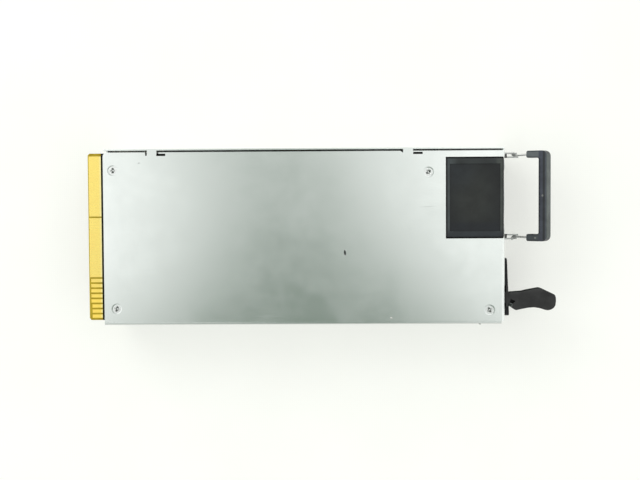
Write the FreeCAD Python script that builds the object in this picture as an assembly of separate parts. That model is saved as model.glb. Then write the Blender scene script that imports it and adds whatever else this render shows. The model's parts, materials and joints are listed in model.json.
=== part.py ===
import FreeCAD, Part
import math
import os
from FreeCAD import Vector as V

# Hot swap server power supply, 1U high, lying on its cover.
# Millimetres. +X runs from the card edge to the fan and handle, +Y is the
# fan side, +Z points out of the chassis panel that carries the board.
# The origin is the centre of the cover's flat outer face, at z = 0.

os.makedirs("parts", exist_ok=True)

# ---- case ---------------------------------------------------------------
CASE_L = 196.7          # along X
CASE_W = 86.6           # along Y
CASE_H = 40.0           # along Z
T = 0.8                 # sheet thickness
XF = -98.1              # connector end
XR = XF + CASE_L        # fan end
YN = -CASE_W / 2        # latch side wall, outer face
YP = CASE_W / 2         # hook side wall, outer face
BEND = 1.5              # outer bend radius
SEAM = 0.85             # gap between the panel edge and the hook side wall
PANEL_Y1 = YP - T - SEAM

# ---- board --------------------------------------------------------------
PCB_Z0 = 31.2
PCB_Z1 = 33.2
PCB_HALF = 41.4
TONGUE_X = -107.0
POWER_X0 = -106.45       # the power contacts reach furthest forward
SIGNAL_X0 = -105.95
LAST_X0 = -105.5         # the last three signal contacts mate last
PAD_X1 = -100.4
PAD_T = 0.07
POWER_PADS = [(10.2, 40.0), (-20.0, 9.45)]
SIGNAL_Y0 = -20.85
SIGNAL_PITCH = 2.54
SIGNAL_W = 1.69
SIGNAL_N = 8
SCREWS = [(-93.3, 32.85), (61.4, 31.3), (-92.0, -35.3), (91.2, -36.4)]

# ---- fan, 40 x 40 x 28 --------------------------------------------------
FAN_X0 = 70.1
FAN_X1 = 98.1
FAN_Y = 18.65
FAN_Z = 20.0
FAN_H = 19.9            # half the frame's width
FAN_BORE = 18.7
FAN_PITCH = 32.0        # screw hole spacing
CUT_X0 = 69.8
CUT_Y0 = -1.3
CUT_Y1 = 38.6

# ---- bail ---------------------------------------------------------------
BAIL_Y = 19.2
BAIL_X = 105.0          # pivot axis, along Y
BAIL_Z = 20.0
BAIL_TILT = 35.0        # degrees above level as stored
WIRE_R = 0.55
EAR_IN = 21.0           # outer ear faces, from the bail's middle plane
EAR_OUT = 21.7
GUARD_IN = 19.1         # inner tab that keeps the wire in its hole
GUARD_OUT = 19.8
GRIP_S0 = 8.7           # stub ends, along the arm from the pivot
GRIP_S1 = 15.4          # bar, inner face
GRIP_S2 = 20.0          # bar, outer face
GRIP_W = 22.5           # half width over the stubs
GRIP_IN = 18.95
GRIP_H = 2.05           # half depth

# ---- latch --------------------------------------------------------------
PIN_X, PIN_Y = 43.1, -40.2
PIN_R = 0.8
LEVER_Z0, LEVER_Z1 = 31.0, 38.4
ARM_Z0, ARM_Z1 = 34.4, 38.2

# ---- AC inlet, IEC 60320 C14 --------------------------------------------
INLET_Y = -26.4
INLET_Z = 13.5
BEZEL_W = 28.85
BEZEL_H = 24.0
BEZEL_X = (101.6, 102.65)    # its face, at the fan side and at the wall side


def box(x0, x1, y0, y1, z0, z1):
    return Part.makeBox(x1 - x0, y1 - y0, z1 - z0, V(x0, y0, z0))


def cylx(x0, x1, y, z, r):
    return Part.makeCylinder(r, x1 - x0, V(x0, y, z), V(1, 0, 0))


def cyly(y0, y1, x, z, r):
    return Part.makeCylinder(r, y1 - y0, V(x, y0, z), V(0, 1, 0))


def cylz(z0, z1, x, y, r):
    return Part.makeCylinder(r, z1 - z0, V(x, y, z0), V(0, 0, 1))


def conez(z0, z1, x, y, r0, r1):
    return Part.makeCone(r0, r1, z1 - z0, V(x, y, z0), V(0, 0, 1))


def conex(x0, x1, y, z, r0, r1):
    return Part.makeCone(r0, r1, x1 - x0, V(x0, y, z), V(1, 0, 0))


def fuse(*shapes):
    out = shapes[0]
    if len(shapes) > 1:
        out = out.multiFuse(list(shapes[1:]))
    return out.removeSplitter()


def cut(a, *tools):
    return a.cut(list(tools)).removeSplitter()


def prism(pts, z0, z1):
    w = Part.makePolygon([V(x, y, z0) for x, y in pts] + [V(pts[0][0], pts[0][1], z0)])
    return Part.Face(w).extrude(V(0, 0, z1 - z0))


def prism_x(pts, x0, x1):
    w = Part.makePolygon([V(x0, y, z) for y, z in pts] + [V(x0, pts[0][0], pts[0][1])])
    return Part.Face(w).extrude(V(x1 - x0, 0, 0))


def prism_y(pts, y0, y1):
    w = Part.makePolygon([V(x, y0, z) for x, z in pts] + [V(pts[0][0], y0, pts[0][1])])
    return Part.Face(w).extrude(V(0, y1 - y0, 0))


def edges_at(shape, test):
    out = []
    for e in shape.Edges:
        if all(test(v.Point) for v in e.Vertexes) and len(e.Vertexes) == 2:
            out.append(e)
    return out


def near(a, b):
    return abs(a - b) < 1e-4


def rod(p, q, r):
    d = q.sub(p)
    return Part.makeCylinder(r, d.Length, p, d)


def rod_path(points, r):
    parts = []
    for a, b in zip(points, points[1:]):
        parts.append(rod(a, b, r))
    for p in points[1:-1]:
        parts.append(Part.makeSphere(r, p))
    return fuse(*parts)


nodes = {}


def save(name, *shapes):
    solids = []
    for s in shapes:
        solids += s.Solids
    shape = solids[0] if len(solids) == 1 else Part.makeCompound(solids)
    nodes[name] = shape
    shape.exportStep("parts/" + name + ".step")


# ==== sheet metal ========================================================
# Base: panel, latch side wall, rear flange and the two handle ears, folded
# from one sheet.
base = box(XF, XR, YN, PANEL_Y1, 0, CASE_H)
base = base.makeFillet(BEND, edges_at(base, lambda p: near(p.y, YN) and near(p.z, CASE_H))
                       + edges_at(base, lambda p: near(p.x, XR) and near(p.z, CASE_H)))
base = base.makeFillet(2.0, edges_at(base, lambda p: near(p.x, XF) and near(p.y, PANEL_Y1)))
base = cut(base, box(XF - 1, XR - T, YN + T, PANEL_Y1 + 1, -1, CASE_H - T))
base = cut(base,
           box(XR - BEND, XR + 1, YN - 1, YN + BEND, -1, CASE_H + 1),   # corner relief
           box(XR - T - 0.1, XR + 1, YN - 1, YP, -1, 0.9),         # cover's edge passes here
           box(CUT_X0, XR + 1, CUT_Y0, CUT_Y1, -1, CASE_H + 1))    # fan opening
front_lip = box(XF, XF + T, YN + T, PANEL_Y1 - 1.6, 34.3, CASE_H - T)
ears = [box(XR - T, XR, PANEL_Y1 - 0.1, YP - T - 0.1, 0.95, 38.0)]   # flange behind the seam
for side in (-1, 1):
    ya, yb = sorted((BAIL_Y + side * GUARD_IN, BAIL_Y + side * GUARD_OUT))
    ears.append(box(101.2, 107.6, ya, yb, 17.9, 22.1))
    ya, yb = sorted((BAIL_Y + side * GUARD_IN, BAIL_Y + side * EAR_OUT))
    ears.append(box(101.2, 101.9, ya, yb, 17.9, 22.1))
for y0, y1 in ((BAIL_Y + EAR_IN, BAIL_Y + EAR_OUT), (BAIL_Y - EAR_OUT, BAIL_Y - EAR_IN)):
    ear = prism_y([(97.5, 14.8), (99.5, 14.8), (BAIL_X + 1.0, 18.04), (BAIL_X + 1.0, 21.96),
                   (99.5, 25.2), (97.5, 25.2)], y0, y1)
    ear = ear.fuse(cyly(y0, y1, BAIL_X, BAIL_Z, 2.2))
    ear = ear.cut(cyly(y0 - 1, y1 + 1, BAIL_X, BAIL_Z, WIRE_R + 0.05))
    ears.append(ear)
tabs = [box(-76.35, -71.6, PANEL_Y1 - 0.5, YP, CASE_H - T, CASE_H),
        box(49.05, 53.9, PANEL_Y1 - 0.5, YP, CASE_H - T, CASE_H)]
base = fuse(base, front_lip, *(ears + tabs))
base_cuts = [box(-71.7, -67.3, 39.85, 40.95, 38, 41), box(-71.6, -70.7, 40.9, 43.5, 38, 41),
             box(-77.15, -76.4, 40.0, 41.0, 38, 41), box(-77.25, -76.35, 41.0, 42.2, 38, 41),
             box(53.95, 58.6, 40.05, 41.1, 38, 41),
             prism([(47.9, 42.2), (47.9, 41.5), (49.05, 40.75), (49.05, 42.2)], 38, 41)]
for x, y in SCREWS:
    base_cuts.append(conez(CASE_H - T - 0.01, CASE_H - 0.14, x, y, 1.45, 2.1))
    base_cuts.append(conez(CASE_H - 0.15, CASE_H + 0.01, x, y, 2.1, 2.75))
base_cuts.append(cylz(39, 41, PIN_X, PIN_Y, 0.5))
# rear flange: inlet cut-out, lever slot, lamp hole, vent slots
base_cuts.append(box(96, 99.2, INLET_Y - 13.6, INLET_Y + 13.6, 3.5, 23.5))
base_cuts.append(box(96, 99.2, -34.3, -24.2, 33.9, 38.8))
base_cuts.append(cylx(96, 99.2, -7.0, 27.0, 1.55))
for z in (7.0, 11.0, 15.0, 19.0):
    base_cuts.append(box(96, 99.2, -9.6, -4.4, z, z + 2.0))
# latch side wall: catch slot, cover screw holes
base_cuts.append(box(83.4, 88.6, YN - 1, YN + T + 0.3, 33.9, 38.8))
COVER_SCREW_X = (-72.0, 2.0, 66.0)
for x in COVER_SCREW_X:
    base_cuts.append(Part.makeCone(2.2, 1.45, T + 0.02, V(x, YN - 0.01, 4.6), V(0, 1, 0)))
base = cut(base, *base_cuts)
save("chassis_base", base)

# Cover: flat sheet under the unit, hook side wall.
cover = box(XF, XR, YN + T + 0.1, YP, 0, CASE_H)
cover = cover.makeFillet(BEND, edges_at(cover, lambda p: near(p.y, YP) and near(p.z, 0)))
cover = cut(cover, box(XF - 1, XR + 1, YN, YP - T, T, CASE_H + 1))
cover = fuse(cover,
             box(-96.0, 82.0, YN + T + 0.1, YN + 2 * T + 0.1, T - 0.2, 8.0))
cover_cuts = [box(CUT_X0, XR + 1, CUT_Y0, CUT_Y1, -1, 2),
              box(-77.0, -71.0, YP - T - 0.05, YP + 1, 39.15, 41),
              box(48.6, 54.4, YP - T - 0.05, YP + 1, 39.15, 41),
              box(XF - 1, XF + 0.5, YP - T - 0.05, YP + 1, 38.0, 41)]
for x in COVER_SCREW_X:
    cover_cuts.append(cyly(YN, YN + 3, x, 4.6, 1.25))
cover = cut(cover, *cover_cuts)
save("chassis_cover", cover)

# Vented plate at the connector end.
grille = box(XF, XF + T, YN + 2 * T + 0.1, YP - T, T, 30.6)
holes = []
for row in range(5):
    z = 4.6 + 5.4 * row
    off = 0.0 if row % 2 == 0 else 3.1
    for k in range(13):
        y = -37.4 + 6.2 * k + off
        if y < 39.6:
            holes.append(cylx(XF - 1, XF + 2, y, z, 2.35))
grille = cut(grille, *holes)
save("front_grille", grille)

# ==== fasteners ==========================================================
flat_screws = []
for i, (x, y) in enumerate(SCREWS):
    s = fuse(conez(CASE_H - T, CASE_H - 0.14, x, y, 1.42, 2.05), cylz(35.2, CASE_H - T, x, y, 1.25))
    s = s.cut(conez(CASE_H - 1.2, CASE_H - 0.13, x, y, 0.3, 1.0))
    a = 20.0 + 31.0 * i
    for k in (0, 90):
        slot = box(-1.35, 1.35, -0.3, 0.3, CASE_H - 0.9, CASE_H + 0.1)
        slot.rotate(V(0, 0, 0), V(0, 0, 1), a + k)
        slot.translate(V(x, y, 0))
        s = s.cut(slot)
    flat_screws.append(s)
save("panel_screws", *flat_screws)

cs = []
for x in COVER_SCREW_X:
    head = Part.makeCone(2.1, 1.42, T - 0.05, V(x, YN + 0.05, 4.6), V(0, 1, 0))
    s = fuse(head, cyly(YN + T, YN + 4.0, x, 4.6, 1.25))
    s = s.cut(box(x - 1.1, x + 1.1, YN - 1, YN + 0.6, 4.35, 4.85))
    s = s.cut(box(x - 0.25, x + 0.25, YN - 1, YN + 0.6, 3.5, 5.7))
    cs.append(s)
save("cover_screws", *cs)


def hexagon(x, y, af, z0, z1):
    r = af / math.sqrt(3)
    return prism([(x + r * math.cos(math.radians(60 * k)), y + r * math.sin(math.radians(60 * k)))
                  for k in range(6)], z0, z1)


save("board_standoffs", *[cut(hexagon(x, y, 4.6, PCB_Z1, CASE_H - T), cylz(30, 40, x, y, 1.25))
                          for x, y in SCREWS])
save("board_screws", *[cut(fuse(cylz(29.4, PCB_Z0, x, y, 2.6), cylz(PCB_Z0, 34.9, x, y, 1.25)),
                           box(x - 1.6, x + 1.6, y - 0.3, y + 0.3, 29.0, 30.2)) for x, y in SCREWS])

# ==== board and card edge ================================================
outline = [(TONGUE_X, -PCB_HALF + 1.0), (TONGUE_X, PCB_HALF - 1.0), (TONGUE_X + 1.0, PCB_HALF),
           (67.3, PCB_HALF), (67.3, -3.3), (96.2, -3.3), (96.2, -PCB_HALF), (TONGUE_X + 1.0, -PCB_HALF)]
board = prism(outline, PCB_Z0, PCB_Z1)
bevel = 0.5
board = cut(board,
            prism_y([(TONGUE_X - bevel, PCB_Z1 + 1), (TONGUE_X - bevel, PCB_Z1 - 2 * bevel), (TONGUE_X, PCB_Z1 - bevel),
                     (TONGUE_X + bevel, PCB_Z1), (TONGUE_X + bevel, PCB_Z1 + 1)], -50, 50),
            prism_y([(TONGUE_X - bevel, PCB_Z0 - 1), (TONGUE_X - bevel, PCB_Z0 + 2 * bevel), (TONGUE_X, PCB_Z0 + bevel),
                     (TONGUE_X + bevel, PCB_Z0), (TONGUE_X + bevel, PCB_Z0 - 1)], -50, 50))
board = cut(board, *[cylz(30, 35, x, y, 1.6) for x, y in SCREWS])
save("main_board", board)

pads = []
for y0, y1 in POWER_PADS:
    pads.append(box(POWER_X0, PAD_X1, y0, y1, PCB_Z1, PCB_Z1 + PAD_T))
    pads.append(box(POWER_X0, PAD_X1, y0, y1, PCB_Z0 - PAD_T, PCB_Z0))
save("power_pads", *pads)
pads = []
for k in range(SIGNAL_N):
    y1 = SIGNAL_Y0 - SIGNAL_PITCH * k
    x0 = LAST_X0 if k >= SIGNAL_N - 3 else SIGNAL_X0
    pads.append(box(x0, PAD_X1, y1 - SIGNAL_W, y1, PCB_Z1, PCB_Z1 + PAD_T))
    pads.append(box(x0, PAD_X1, y1 - SIGNAL_W, y1, PCB_Z0 - PAD_T, PCB_Z0))
save("signal_pads", *pads)

sheet = prism([(-96.0, -41.0), (-96.0, 37.6), (66.5, 37.6), (66.5, -3.8), (96.2, -3.8), (96.2, -41.0)],
              38.85, 39.1)
sheet = cut(sheet, *([cylz(38, 40, x, y, 3.2) for x, y in SCREWS] + [cylz(38, 40, PIN_X, PIN_Y, 1.4)]))
save("insulation_sheet", sheet)

# ==== fan ================================================================
frame = box(FAN_X0, FAN_X1, FAN_Y - FAN_H, FAN_Y + FAN_H, FAN_Z - FAN_H, FAN_Z + FAN_H)
frame = frame.makeFillet(1.6, [e for e in frame.Edges
                               if len(e.Vertexes) == 2 and near(e.Vertexes[0].Y, e.Vertexes[1].Y)
                               and near(e.Vertexes[0].Z, e.Vertexes[1].Z)])
FL = 1.7
mid = box(FAN_X0 + FL, FAN_X1 - FL, FAN_Y - FAN_H - 1, FAN_Y + FAN_H + 1, FAN_Z - FAN_H - 1, FAN_Z + FAN_H + 1)
POST = 3.4
INSET = 0.45
keep = [box(FAN_X0 + FL - 0.1, FAN_X1 - FL + 0.1, FAN_Y - FAN_H + INSET, FAN_Y + FAN_H - INSET,
            FAN_Z - FAN_H + INSET, FAN_Z + FAN_H - INSET)]
for sy in (-1, 1):
    for sz in (-1, 1):
        ya, yb = sorted((FAN_Y + sy * (FAN_H + 2), FAN_Y + sy * (FAN_H - POST)))
        za, zb = sorted((FAN_Z + sz * (FAN_H + 2), FAN_Z + sz * (FAN_H - 6.5)))
        keep.append(box(FAN_X0 + FL - 0.1, FAN_X1 - FL + 0.1, ya, yb, za, zb))
mid = cut(mid, *keep)
frame = cut(frame, mid, cylx(FAN_X0 - 1, FAN_X1 + 1, FAN_Y, FAN_Z, FAN_BORE))
for sy in (-1, 1):
    for sz in (-1, 1):
        frame = frame.fuse(cylx(FAN_X0 + 0.2, FAN_X1 - 0.2, FAN_Y + sy * 16, FAN_Z + sz * 16, 2.6).cut(
            cylx(FAN_X0 - 1, FAN_X1 + 1, FAN_Y, FAN_Z, FAN_BORE)))
struts = []
for a in (20, 110, 200, 290):
    s = box(94.9, 97.1, 9.5, FAN_BORE + 0.3, -0.9, 0.9)
    s.rotate(V(0, 0, 0), V(1, 0, 0), a)
    s.translate(V(0, FAN_Y, FAN_Z))
    struts.append(s)
mount = fuse(cylx(94.9, 97.1, FAN_Y, FAN_Z, 10.5), cylx(76.0, 95.0, FAN_Y, FAN_Z, 3.7), *struts)
mount = cut(mount, cylx(75.0, 94.9, FAN_Y, FAN_Z, 3.0))
frame = fuse(frame, mount)
fcuts = []
for sy in (-1, 1):
    for sz in (-1, 1):
        y, z = FAN_Y + sy * 16, FAN_Z + sz * 16
        fcuts += [cylx(FAN_X0 - 1, FAN_X1 + 1, y, z, 1.6), conex(FAN_X1 - 0.5, FAN_X1 + 0.1, y, z, 1.6, 2.2)]
frame = cut(frame, *fcuts)
save("fan_frame", frame)

hub = cut(cylx(72.6, 92.6, FAN_Y, FAN_Z, 11.0), cylx(74.0, 93.0, FAN_Y, FAN_Z, 10.0))
hub = cut(hub, cylx(72.0, 75.0, FAN_Y, FAN_Z, 1.0))
blades = []
ring = cut(cylx(74.2, 91.8, 0, 0, 18.2), cylx(74.0, 92.0, 0, 0, 10.6))
for k in range(7):
    b = box(-14, 14, -0.45, 0.45, 8.0, 20.0)
    b.rotate(V(0, 0, 0), V(0, 0, 1), 38.0)
    b.translate(V(83.0, 0, 0))
    b.rotate(V(0, 0, 0), V(1, 0, 0), 360.0 / 7 * k)
    b = b.common(ring)
    b.translate(V(0, FAN_Y, FAN_Z))
    blades.append(b)
impeller = fuse(hub, *blades)
save("fan_impeller", impeller)
save("fan_shaft", cylx(72.6, 93.4, FAN_Y, FAN_Z, 1.0))
save("fan_magnet", cut(cylx(77.5, 91.0, FAN_Y, FAN_Z, 10.0), cylx(77.0, 92.0, FAN_Y, FAN_Z, 9.0)))
save("fan_bearings", *[cut(cylx(a, a + 3.0, FAN_Y, FAN_Z, 3.0), cylx(a - 1, a + 4, FAN_Y, FAN_Z, 1.05))
                       for a in (76.2, 90.2)])
stator = cut(cylx(79.5, 89.5, FAN_Y, FAN_Z, 8.5), cylx(79, 90, FAN_Y, FAN_Z, 3.7))
slots = []
for k in range(4):
    s = box(79, 90, -0.7, 0.7, 5.0, 9.5)
    s.rotate(V(0, 0, 0), V(1, 0, 0), 45 + 90 * k)
    s.translate(V(0, FAN_Y, FAN_Z))
    slots.append(s)
save("fan_stator", cut(stator, *slots))

leads = []
for k in range(4):
    z = 24.2 + 1.25 * k
    leads.append(rod_path([V(80.0, 40.2, z), V(67.8, 40.2, z), V(65.0, 37.4, z), V(63.5, 37.4, z)], 0.55))
save("fan_leads", *leads)
save("fan_plug", box(58.5, 63.5, 34.6, 40.2, 22.6, PCB_Z0))

brk = box(68.6, 69.6, CUT_Y0, CUT_Y1, T, 39.1)
brk = cut(brk, cylx(68, 70, FAN_Y, FAN_Z, FAN_BORE))
save("fan_bracket", brk)
gsk = box(69.6, FAN_X0, FAN_Y - 19.7, FAN_Y + 19.7, FAN_Z - 18.9, FAN_Z + 18.9)
gsk = cut(gsk, cylx(69, 71, FAN_Y, FAN_Z, FAN_BORE))
save("fan_gasket", *gsk.Solids)
save("fan_side_baffle", box(70.0, 97.0, -2.7, -2.3, T, 39.1))

# Stamped finger guard on the exhaust side of the fan.
gx0, gx1 = FAN_X1, FAN_X1 + 0.5
rings = []
for r in (4.6, 9.2, 13.8, 18.4):
    rings.append(cut(cylx(gx0, gx1, FAN_Y, FAN_Z, r), cylx(gx0 - 1, gx1 + 1, FAN_Y, FAN_Z, r - 1.0)))
bars = []
for a in (45, 135):
    b = box(gx0, gx1, -22.6, 22.6, -0.55, 0.55)
    b.rotate(V(0, 0, 0), V(1, 0, 0), a)
    b.translate(V(0, FAN_Y, FAN_Z))
    bars.append(b)
eyes = [cylx(gx0, gx1, FAN_Y + sy * 16, FAN_Z + sz * 16, 3.0) for sy in (-1, 1) for sz in (-1, 1)]
guard = fuse(*(rings + bars + eyes))
guard = cut(guard, *[conex(gx0 - 0.01, gx1 + 0.01, FAN_Y + sy * 16, FAN_Z + sz * 16, 2.15, 2.6)
                     for sy in (-1, 1) for sz in (-1, 1)])
save("finger_guard", guard)
gs = []
for sy in (-1, 1):
    for sz in (-1, 1):
        y, z = FAN_Y + sy * 16, FAN_Z + sz * 16
        s = fuse(conex(FAN_X1 - 0.5, gx1, y, z, 1.55, 2.5), cylx(86.0, FAN_X1 - 0.5, y, z, 1.55))
        s = s.cut(box(gx1 - 0.6, gx1 + 1, y - 1.4, y + 1.4, z - 0.3, z + 0.3))
        s = s.cut(box(gx1 - 0.6, gx1 + 1, y - 0.3, y + 0.3, z - 1.4, z + 1.4))
        gs.append(s)
save("guard_screws", *gs)

# ==== AC inlet ===========================================================
bz = prism([(XR, INLET_Y - BEZEL_W / 2), (BEZEL_X[1], INLET_Y - BEZEL_W / 2), (BEZEL_X[0], INLET_Y + BEZEL_W / 2),
            (XR, INLET_Y + BEZEL_W / 2)], INLET_Z - BEZEL_H / 2, INLET_Z + BEZEL_H / 2)
bz = bz.makeFillet(1.8, [e for e in bz.Edges if near(e.Vertexes[0].Y, e.Vertexes[1].Y)
                         and near(e.Vertexes[0].Z, e.Vertexes[1].Z)])
body = box(82.0, XR + 0.5, INLET_Y - 13.5, INLET_Y + 13.5, 3.6, 23.4)
inlet = fuse(bz, body)
cav = prism_x([(INLET_Y - 12.0, 5.5), (INLET_Y + 12.0, 5.5), (INLET_Y + 12.0, 17.3), (INLET_Y + 7.8, 21.5),
               (INLET_Y - 7.8, 21.5), (INLET_Y - 12.0, 17.3)], 86.0, BEZEL_X[1] + 1)
PINS = [(INLET_Y - 7.0, 9.5, 13.5, 100.2), (INLET_Y + 7.0, 9.5, 13.5, 100.2), (INLET_Y, 13.5, 17.5, 101.0)]
pins = [box(80.5, x1, y - 1.0, y + 1.0, z0, z1) for y, z0, z1, x1 in PINS]
inlet = cut(inlet, cav, *pins)
save("ac_inlet_housing", inlet)
save("ac_inlet_pins", *pins)
save("inlet_leads", *[box(79.2, 80.5, y - 1.5, y + 1.5, z0, PCB_Z0) for y, z0, z1, x1 in PINS])

save("status_light_pipe", cylx(90.0, 98.9, -7.0, 27.0, 1.5))
save("status_led", box(86.0, 90.0, -9.2, -4.8, 24.8, PCB_Z0))

# ==== latch ==============================================================
handle = prism([(99.4, -34.95), (99.4, -24.8), (100.4, -24.8), (100.5, -28.15), (107.7, -27.65),
                (109.8, -27.1), (115.4, -26.1), (116.0, -26.02), (116.6, -26.1), (117.7, -26.5),
                (122.9, -29.0), (123.4, -29.45), (123.75, -30.5), (123.85, -32.4), (123.55, -34.4),
                (122.75, -35.7), (121.4, -36.5), (119.9, -36.85), (118.4, -36.6), (116.0, -35.8),
                (113.1, -35.35), (110.1, -35.55), (106.7, -36.2), (104.3, -36.75), (103.3, -36.3),
                (101.6, -35.1), (102.35, -33.9), (101.1, -33.4), (100.4, -33.4), (100.4, -34.95)],
               LEVER_Z0, LEVER_Z1)
handle = fuse(handle, prism([(100.3, -34.95), (100.3, -33.3), (102.4, -33.3), (102.4, -34.0), (101.7, -35.0)],
                            LEVER_Z0, 36.4))
# the fan side of the handle's face slopes away from a ridge line
slope = box(-60, 60, 0, 30, 0, 10)
slope.rotate(V(0, 0, 0), V(1, 0, 0), -16.0)
slope.rotate(V(0, 0, 0), V(0, 0, 1), 6.0)
slope.translate(V(108.0, -30.2, LEVER_Z1))
handle = handle.cut(slope.common(box(100.6, 130, -40, -20, 30, 50)))
handle = handle.cut(prism([(101.7, -31.2), (104.1, -32.2), (102.8, -33.5), (101.2, -32.9)], 36.2, 40))
arm = [box(82.8, 99.5, -33.4, -27.6, ARM_Z0, ARM_Z1),
       box(82.8, 87.6, -41.5, -27.6, ARM_Z0, ARM_Z1),
       prism([(84.2, -41.4), (84.2, -42.5), (86.9, -43.85), (86.9, -41.4)], ARM_Z0, ARM_Z1),
       box(45.6, 83.0, -41.5, -39.1, ARM_Z0, ARM_Z1),
       box(PIN_X, 45.8, -41.5, -39.1, 36.2, ARM_Z1),
       cylz(36.2, ARM_Z1, PIN_X, PIN_Y, 1.7)]
lever = fuse(handle, *arm)
lever = cut(lever, cylz(30, 40, PIN_X, PIN_Y, PIN_R + 0.05))
save("release_lever", lever)
save("latch_pivot_pin", fuse(cylz(33.4, CASE_H - T, PIN_X, PIN_Y, PIN_R),
                             cylz(CASE_H - T, CASE_H - 0.02, PIN_X, PIN_Y, 0.5)))
coil = []
for z in (34.70, 35.30, 35.85):
    coil.append(Part.makeTorus(1.35, 0.25, V(PIN_X, PIN_Y, z), V(0, 0, 1)))
coil[2] = coil[2].fuse(rod(V(PIN_X, PIN_Y + 1.35, 35.85), V(52.0, PIN_Y + 1.35, 35.85), 0.25))
coil[0] = coil[0].fuse(rod(V(38.2, PIN_Y - 1.35, 34.70), V(PIN_X, PIN_Y - 1.35, 34.70), 0.25))
save("latch_return_spring", *coil)

# ==== bail ===============================================================
def bail_place(s):
    s = s.copy()
    s.rotate(V(0, 0, 0), V(0, 1, 0), -BAIL_TILT)
    s.translate(V(BAIL_X, BAIL_Y, BAIL_Z))
    return s


mid_s = (GRIP_S1 + GRIP_S2) / 2
stub_y = (GRIP_IN + GRIP_W) / 2
arm_y = (GUARD_OUT + EAR_IN) / 2
pts = [(0, 22.0), (0, arm_y), (1.6, arm_y), (8.8, stub_y), (mid_s, stub_y),
       (mid_s, -stub_y), (8.8, -stub_y), (1.6, -arm_y), (0, -arm_y), (0, -22.0)]
wire = rod_path([V(a, b, 0) for a, b in pts], WIRE_R)
grip = cut(box(GRIP_S0, GRIP_S2, -GRIP_W, GRIP_W, -GRIP_H, GRIP_H),
           box(GRIP_S0 - 1, GRIP_S1, -GRIP_IN, GRIP_IN, -GRIP_H - 1, GRIP_H + 1))
for side in (-1, 1):
    grip = grip.makeFillet(2.9, edges_at(grip, lambda p: near(p.x, GRIP_S2) and near(p.y, side * GRIP_W)))
    grip = grip.makeFillet(0.9, edges_at(grip, lambda p: near(p.x, GRIP_S1) and near(p.y, side * GRIP_IN)))
    grip = grip.makeFillet(0.9, edges_at(grip, lambda p: near(p.x, GRIP_S0) and near(p.y, side * GRIP_W)))
    grip = grip.makeFillet(0.9, edges_at(grip, lambda p: near(p.x, GRIP_S0) and near(p.y, side * GRIP_IN)))
grip = cut(grip, wire)
save("bail_wire", bail_place(wire))
save("bail_grip", bail_place(grip))

# ==== power stages, hanging from the board towards the cover =============
save("fuse", cylx(68.6, 84.4, -8.0, 26.6, 3.1))
save("fuse_clips", *[cut(box(a, a + 2.4, -11.6, -4.4, 23.0, PCB_Z0), cylx(60, 90, -8.0, 26.6, 3.1))
                     for a in (69.6, 81.0)])
save("x_capacitors", box(68.4, 77.0, -38.4, -14.0, 12.0, PCB_Z0), box(24.0, 42.0, -38.6, -30.2, 13.0, PCB_Z0))
save("y_capacitors", *[cylx(a, a + 3.0, y, 26.0, 4.2) for a, y in ((62.0, -9.0), (62.0, 2.2))])


def toroid(axis, c, r_out, r_in, half, grow, gaps):
    cx, cy, cz = c
    if axis == "x":
        d, o = V(1, 0, 0), lambda h: V(cx - h, cy, cz)
    else:
        d, o = V(0, 1, 0), lambda h: V(cx, cy - h, cz)
    core = Part.makeCylinder(r_out, 2 * half, o(half), d).cut(Part.makeCylinder(r_in, 2 * half, o(half), d))
    h2 = half + grow
    wind = Part.makeCylinder(r_out + grow, 2 * h2, o(h2), d).cut(
        [Part.makeCylinder(r_in - grow, 2 * h2 + 2, o(h2 + 1), d), core])
    for g in gaps:
        wind = wind.cut(g)
    return core, wind


fc, fw = toroid("x", (54.0, -27.2, 16.2), 11.5, 6.0, 4.5, 1.3,
                [box(40, 68, -28.6, -25.8, 0, 40)])
save("filter_choke_core", fc)
save("filter_choke_windings", fw)

save("inrush_relay", box(24.0, 42.0, -28.8, -22.4, 15.0, PCB_Z0))
save("bridge_rectifier", box(26.0, 41.0, -21.4, -17.2, 6.0, 27.0))
save("bridge_heatsink", fuse(box(24.0, 43.0, -17.2, -14.8, 3.0, PCB_Z0),
                             *[box(a, a + 1.2, -14.9, -12.6, 3.0, 29.0) for a in (25.0, 30.0, 35.0, 40.0)]))
save("bulk_capacitors", *[cylx(15.0, 58.0, y, 16.4, 12.2) for y in (26.2, 1.2)])
save("inrush_thermistor", cyly(-13.0, -9.0, 8.0, 24.0, 6.0))
pc, pw = toroid("y", (8.0, -29.6, 16.0), 11.5, 6.0, 4.6, 1.3, [box(5.5, 10.5, -60, 0, 16, 40)])
save("pfc_choke_core", pc)
save("pfc_choke_winding", pw)
save("primary_heatsink", fuse(box(-42.0, 20.0, -18.0, -15.6, 3.0, PCB_Z0),
                              *[box(a, a + 1.2, -15.7, -13.4, 3.0, 16.0) for a in (-40, -34, -28, -22, -16, -10, -4, 2, 8, 14)]))
save("power_transistors", *[box(a, a + 10.0, -22.4, -18.0, 5.0, 24.0) for a in (-39.0, -26.0, -13.0, 2.0)])
save("transformer_core", fuse(box(-27.0, 9.0, 8.0, 32.0, 3.0, 9.0), box(-27.0, 9.0, 8.0, 32.0, 23.6, 29.6),
                              box(-27.0, -22.0, 8.0, 32.0, 8.9, 23.7), box(4.0, 9.0, 8.0, 32.0, 8.9, 23.7),
                              cylz(8.9, 23.7, -9.0, 20.0, 5.8)))
save("transformer_winding", cut(cylz(9.2, 23.4, -9.0, 20.0, 12.2), cylz(8, 25, -9.0, 20.0, 5.9)))
save("transformer_base", box(-28.0, 10.0, 6.0, 34.0, 29.6, PCB_Z0))
save("resonant_inductor", box(-26.0, -8.5, -40.0, -23.0, 7.0, PCB_Z0))
save("standby_transformer", box(-46.0, -30.0, -40.0, -23.6, 11.0, PCB_Z0))
hs = box(-52.0, -32.0, 2.0, 38.0, 26.0, PCB_Z0)
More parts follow.
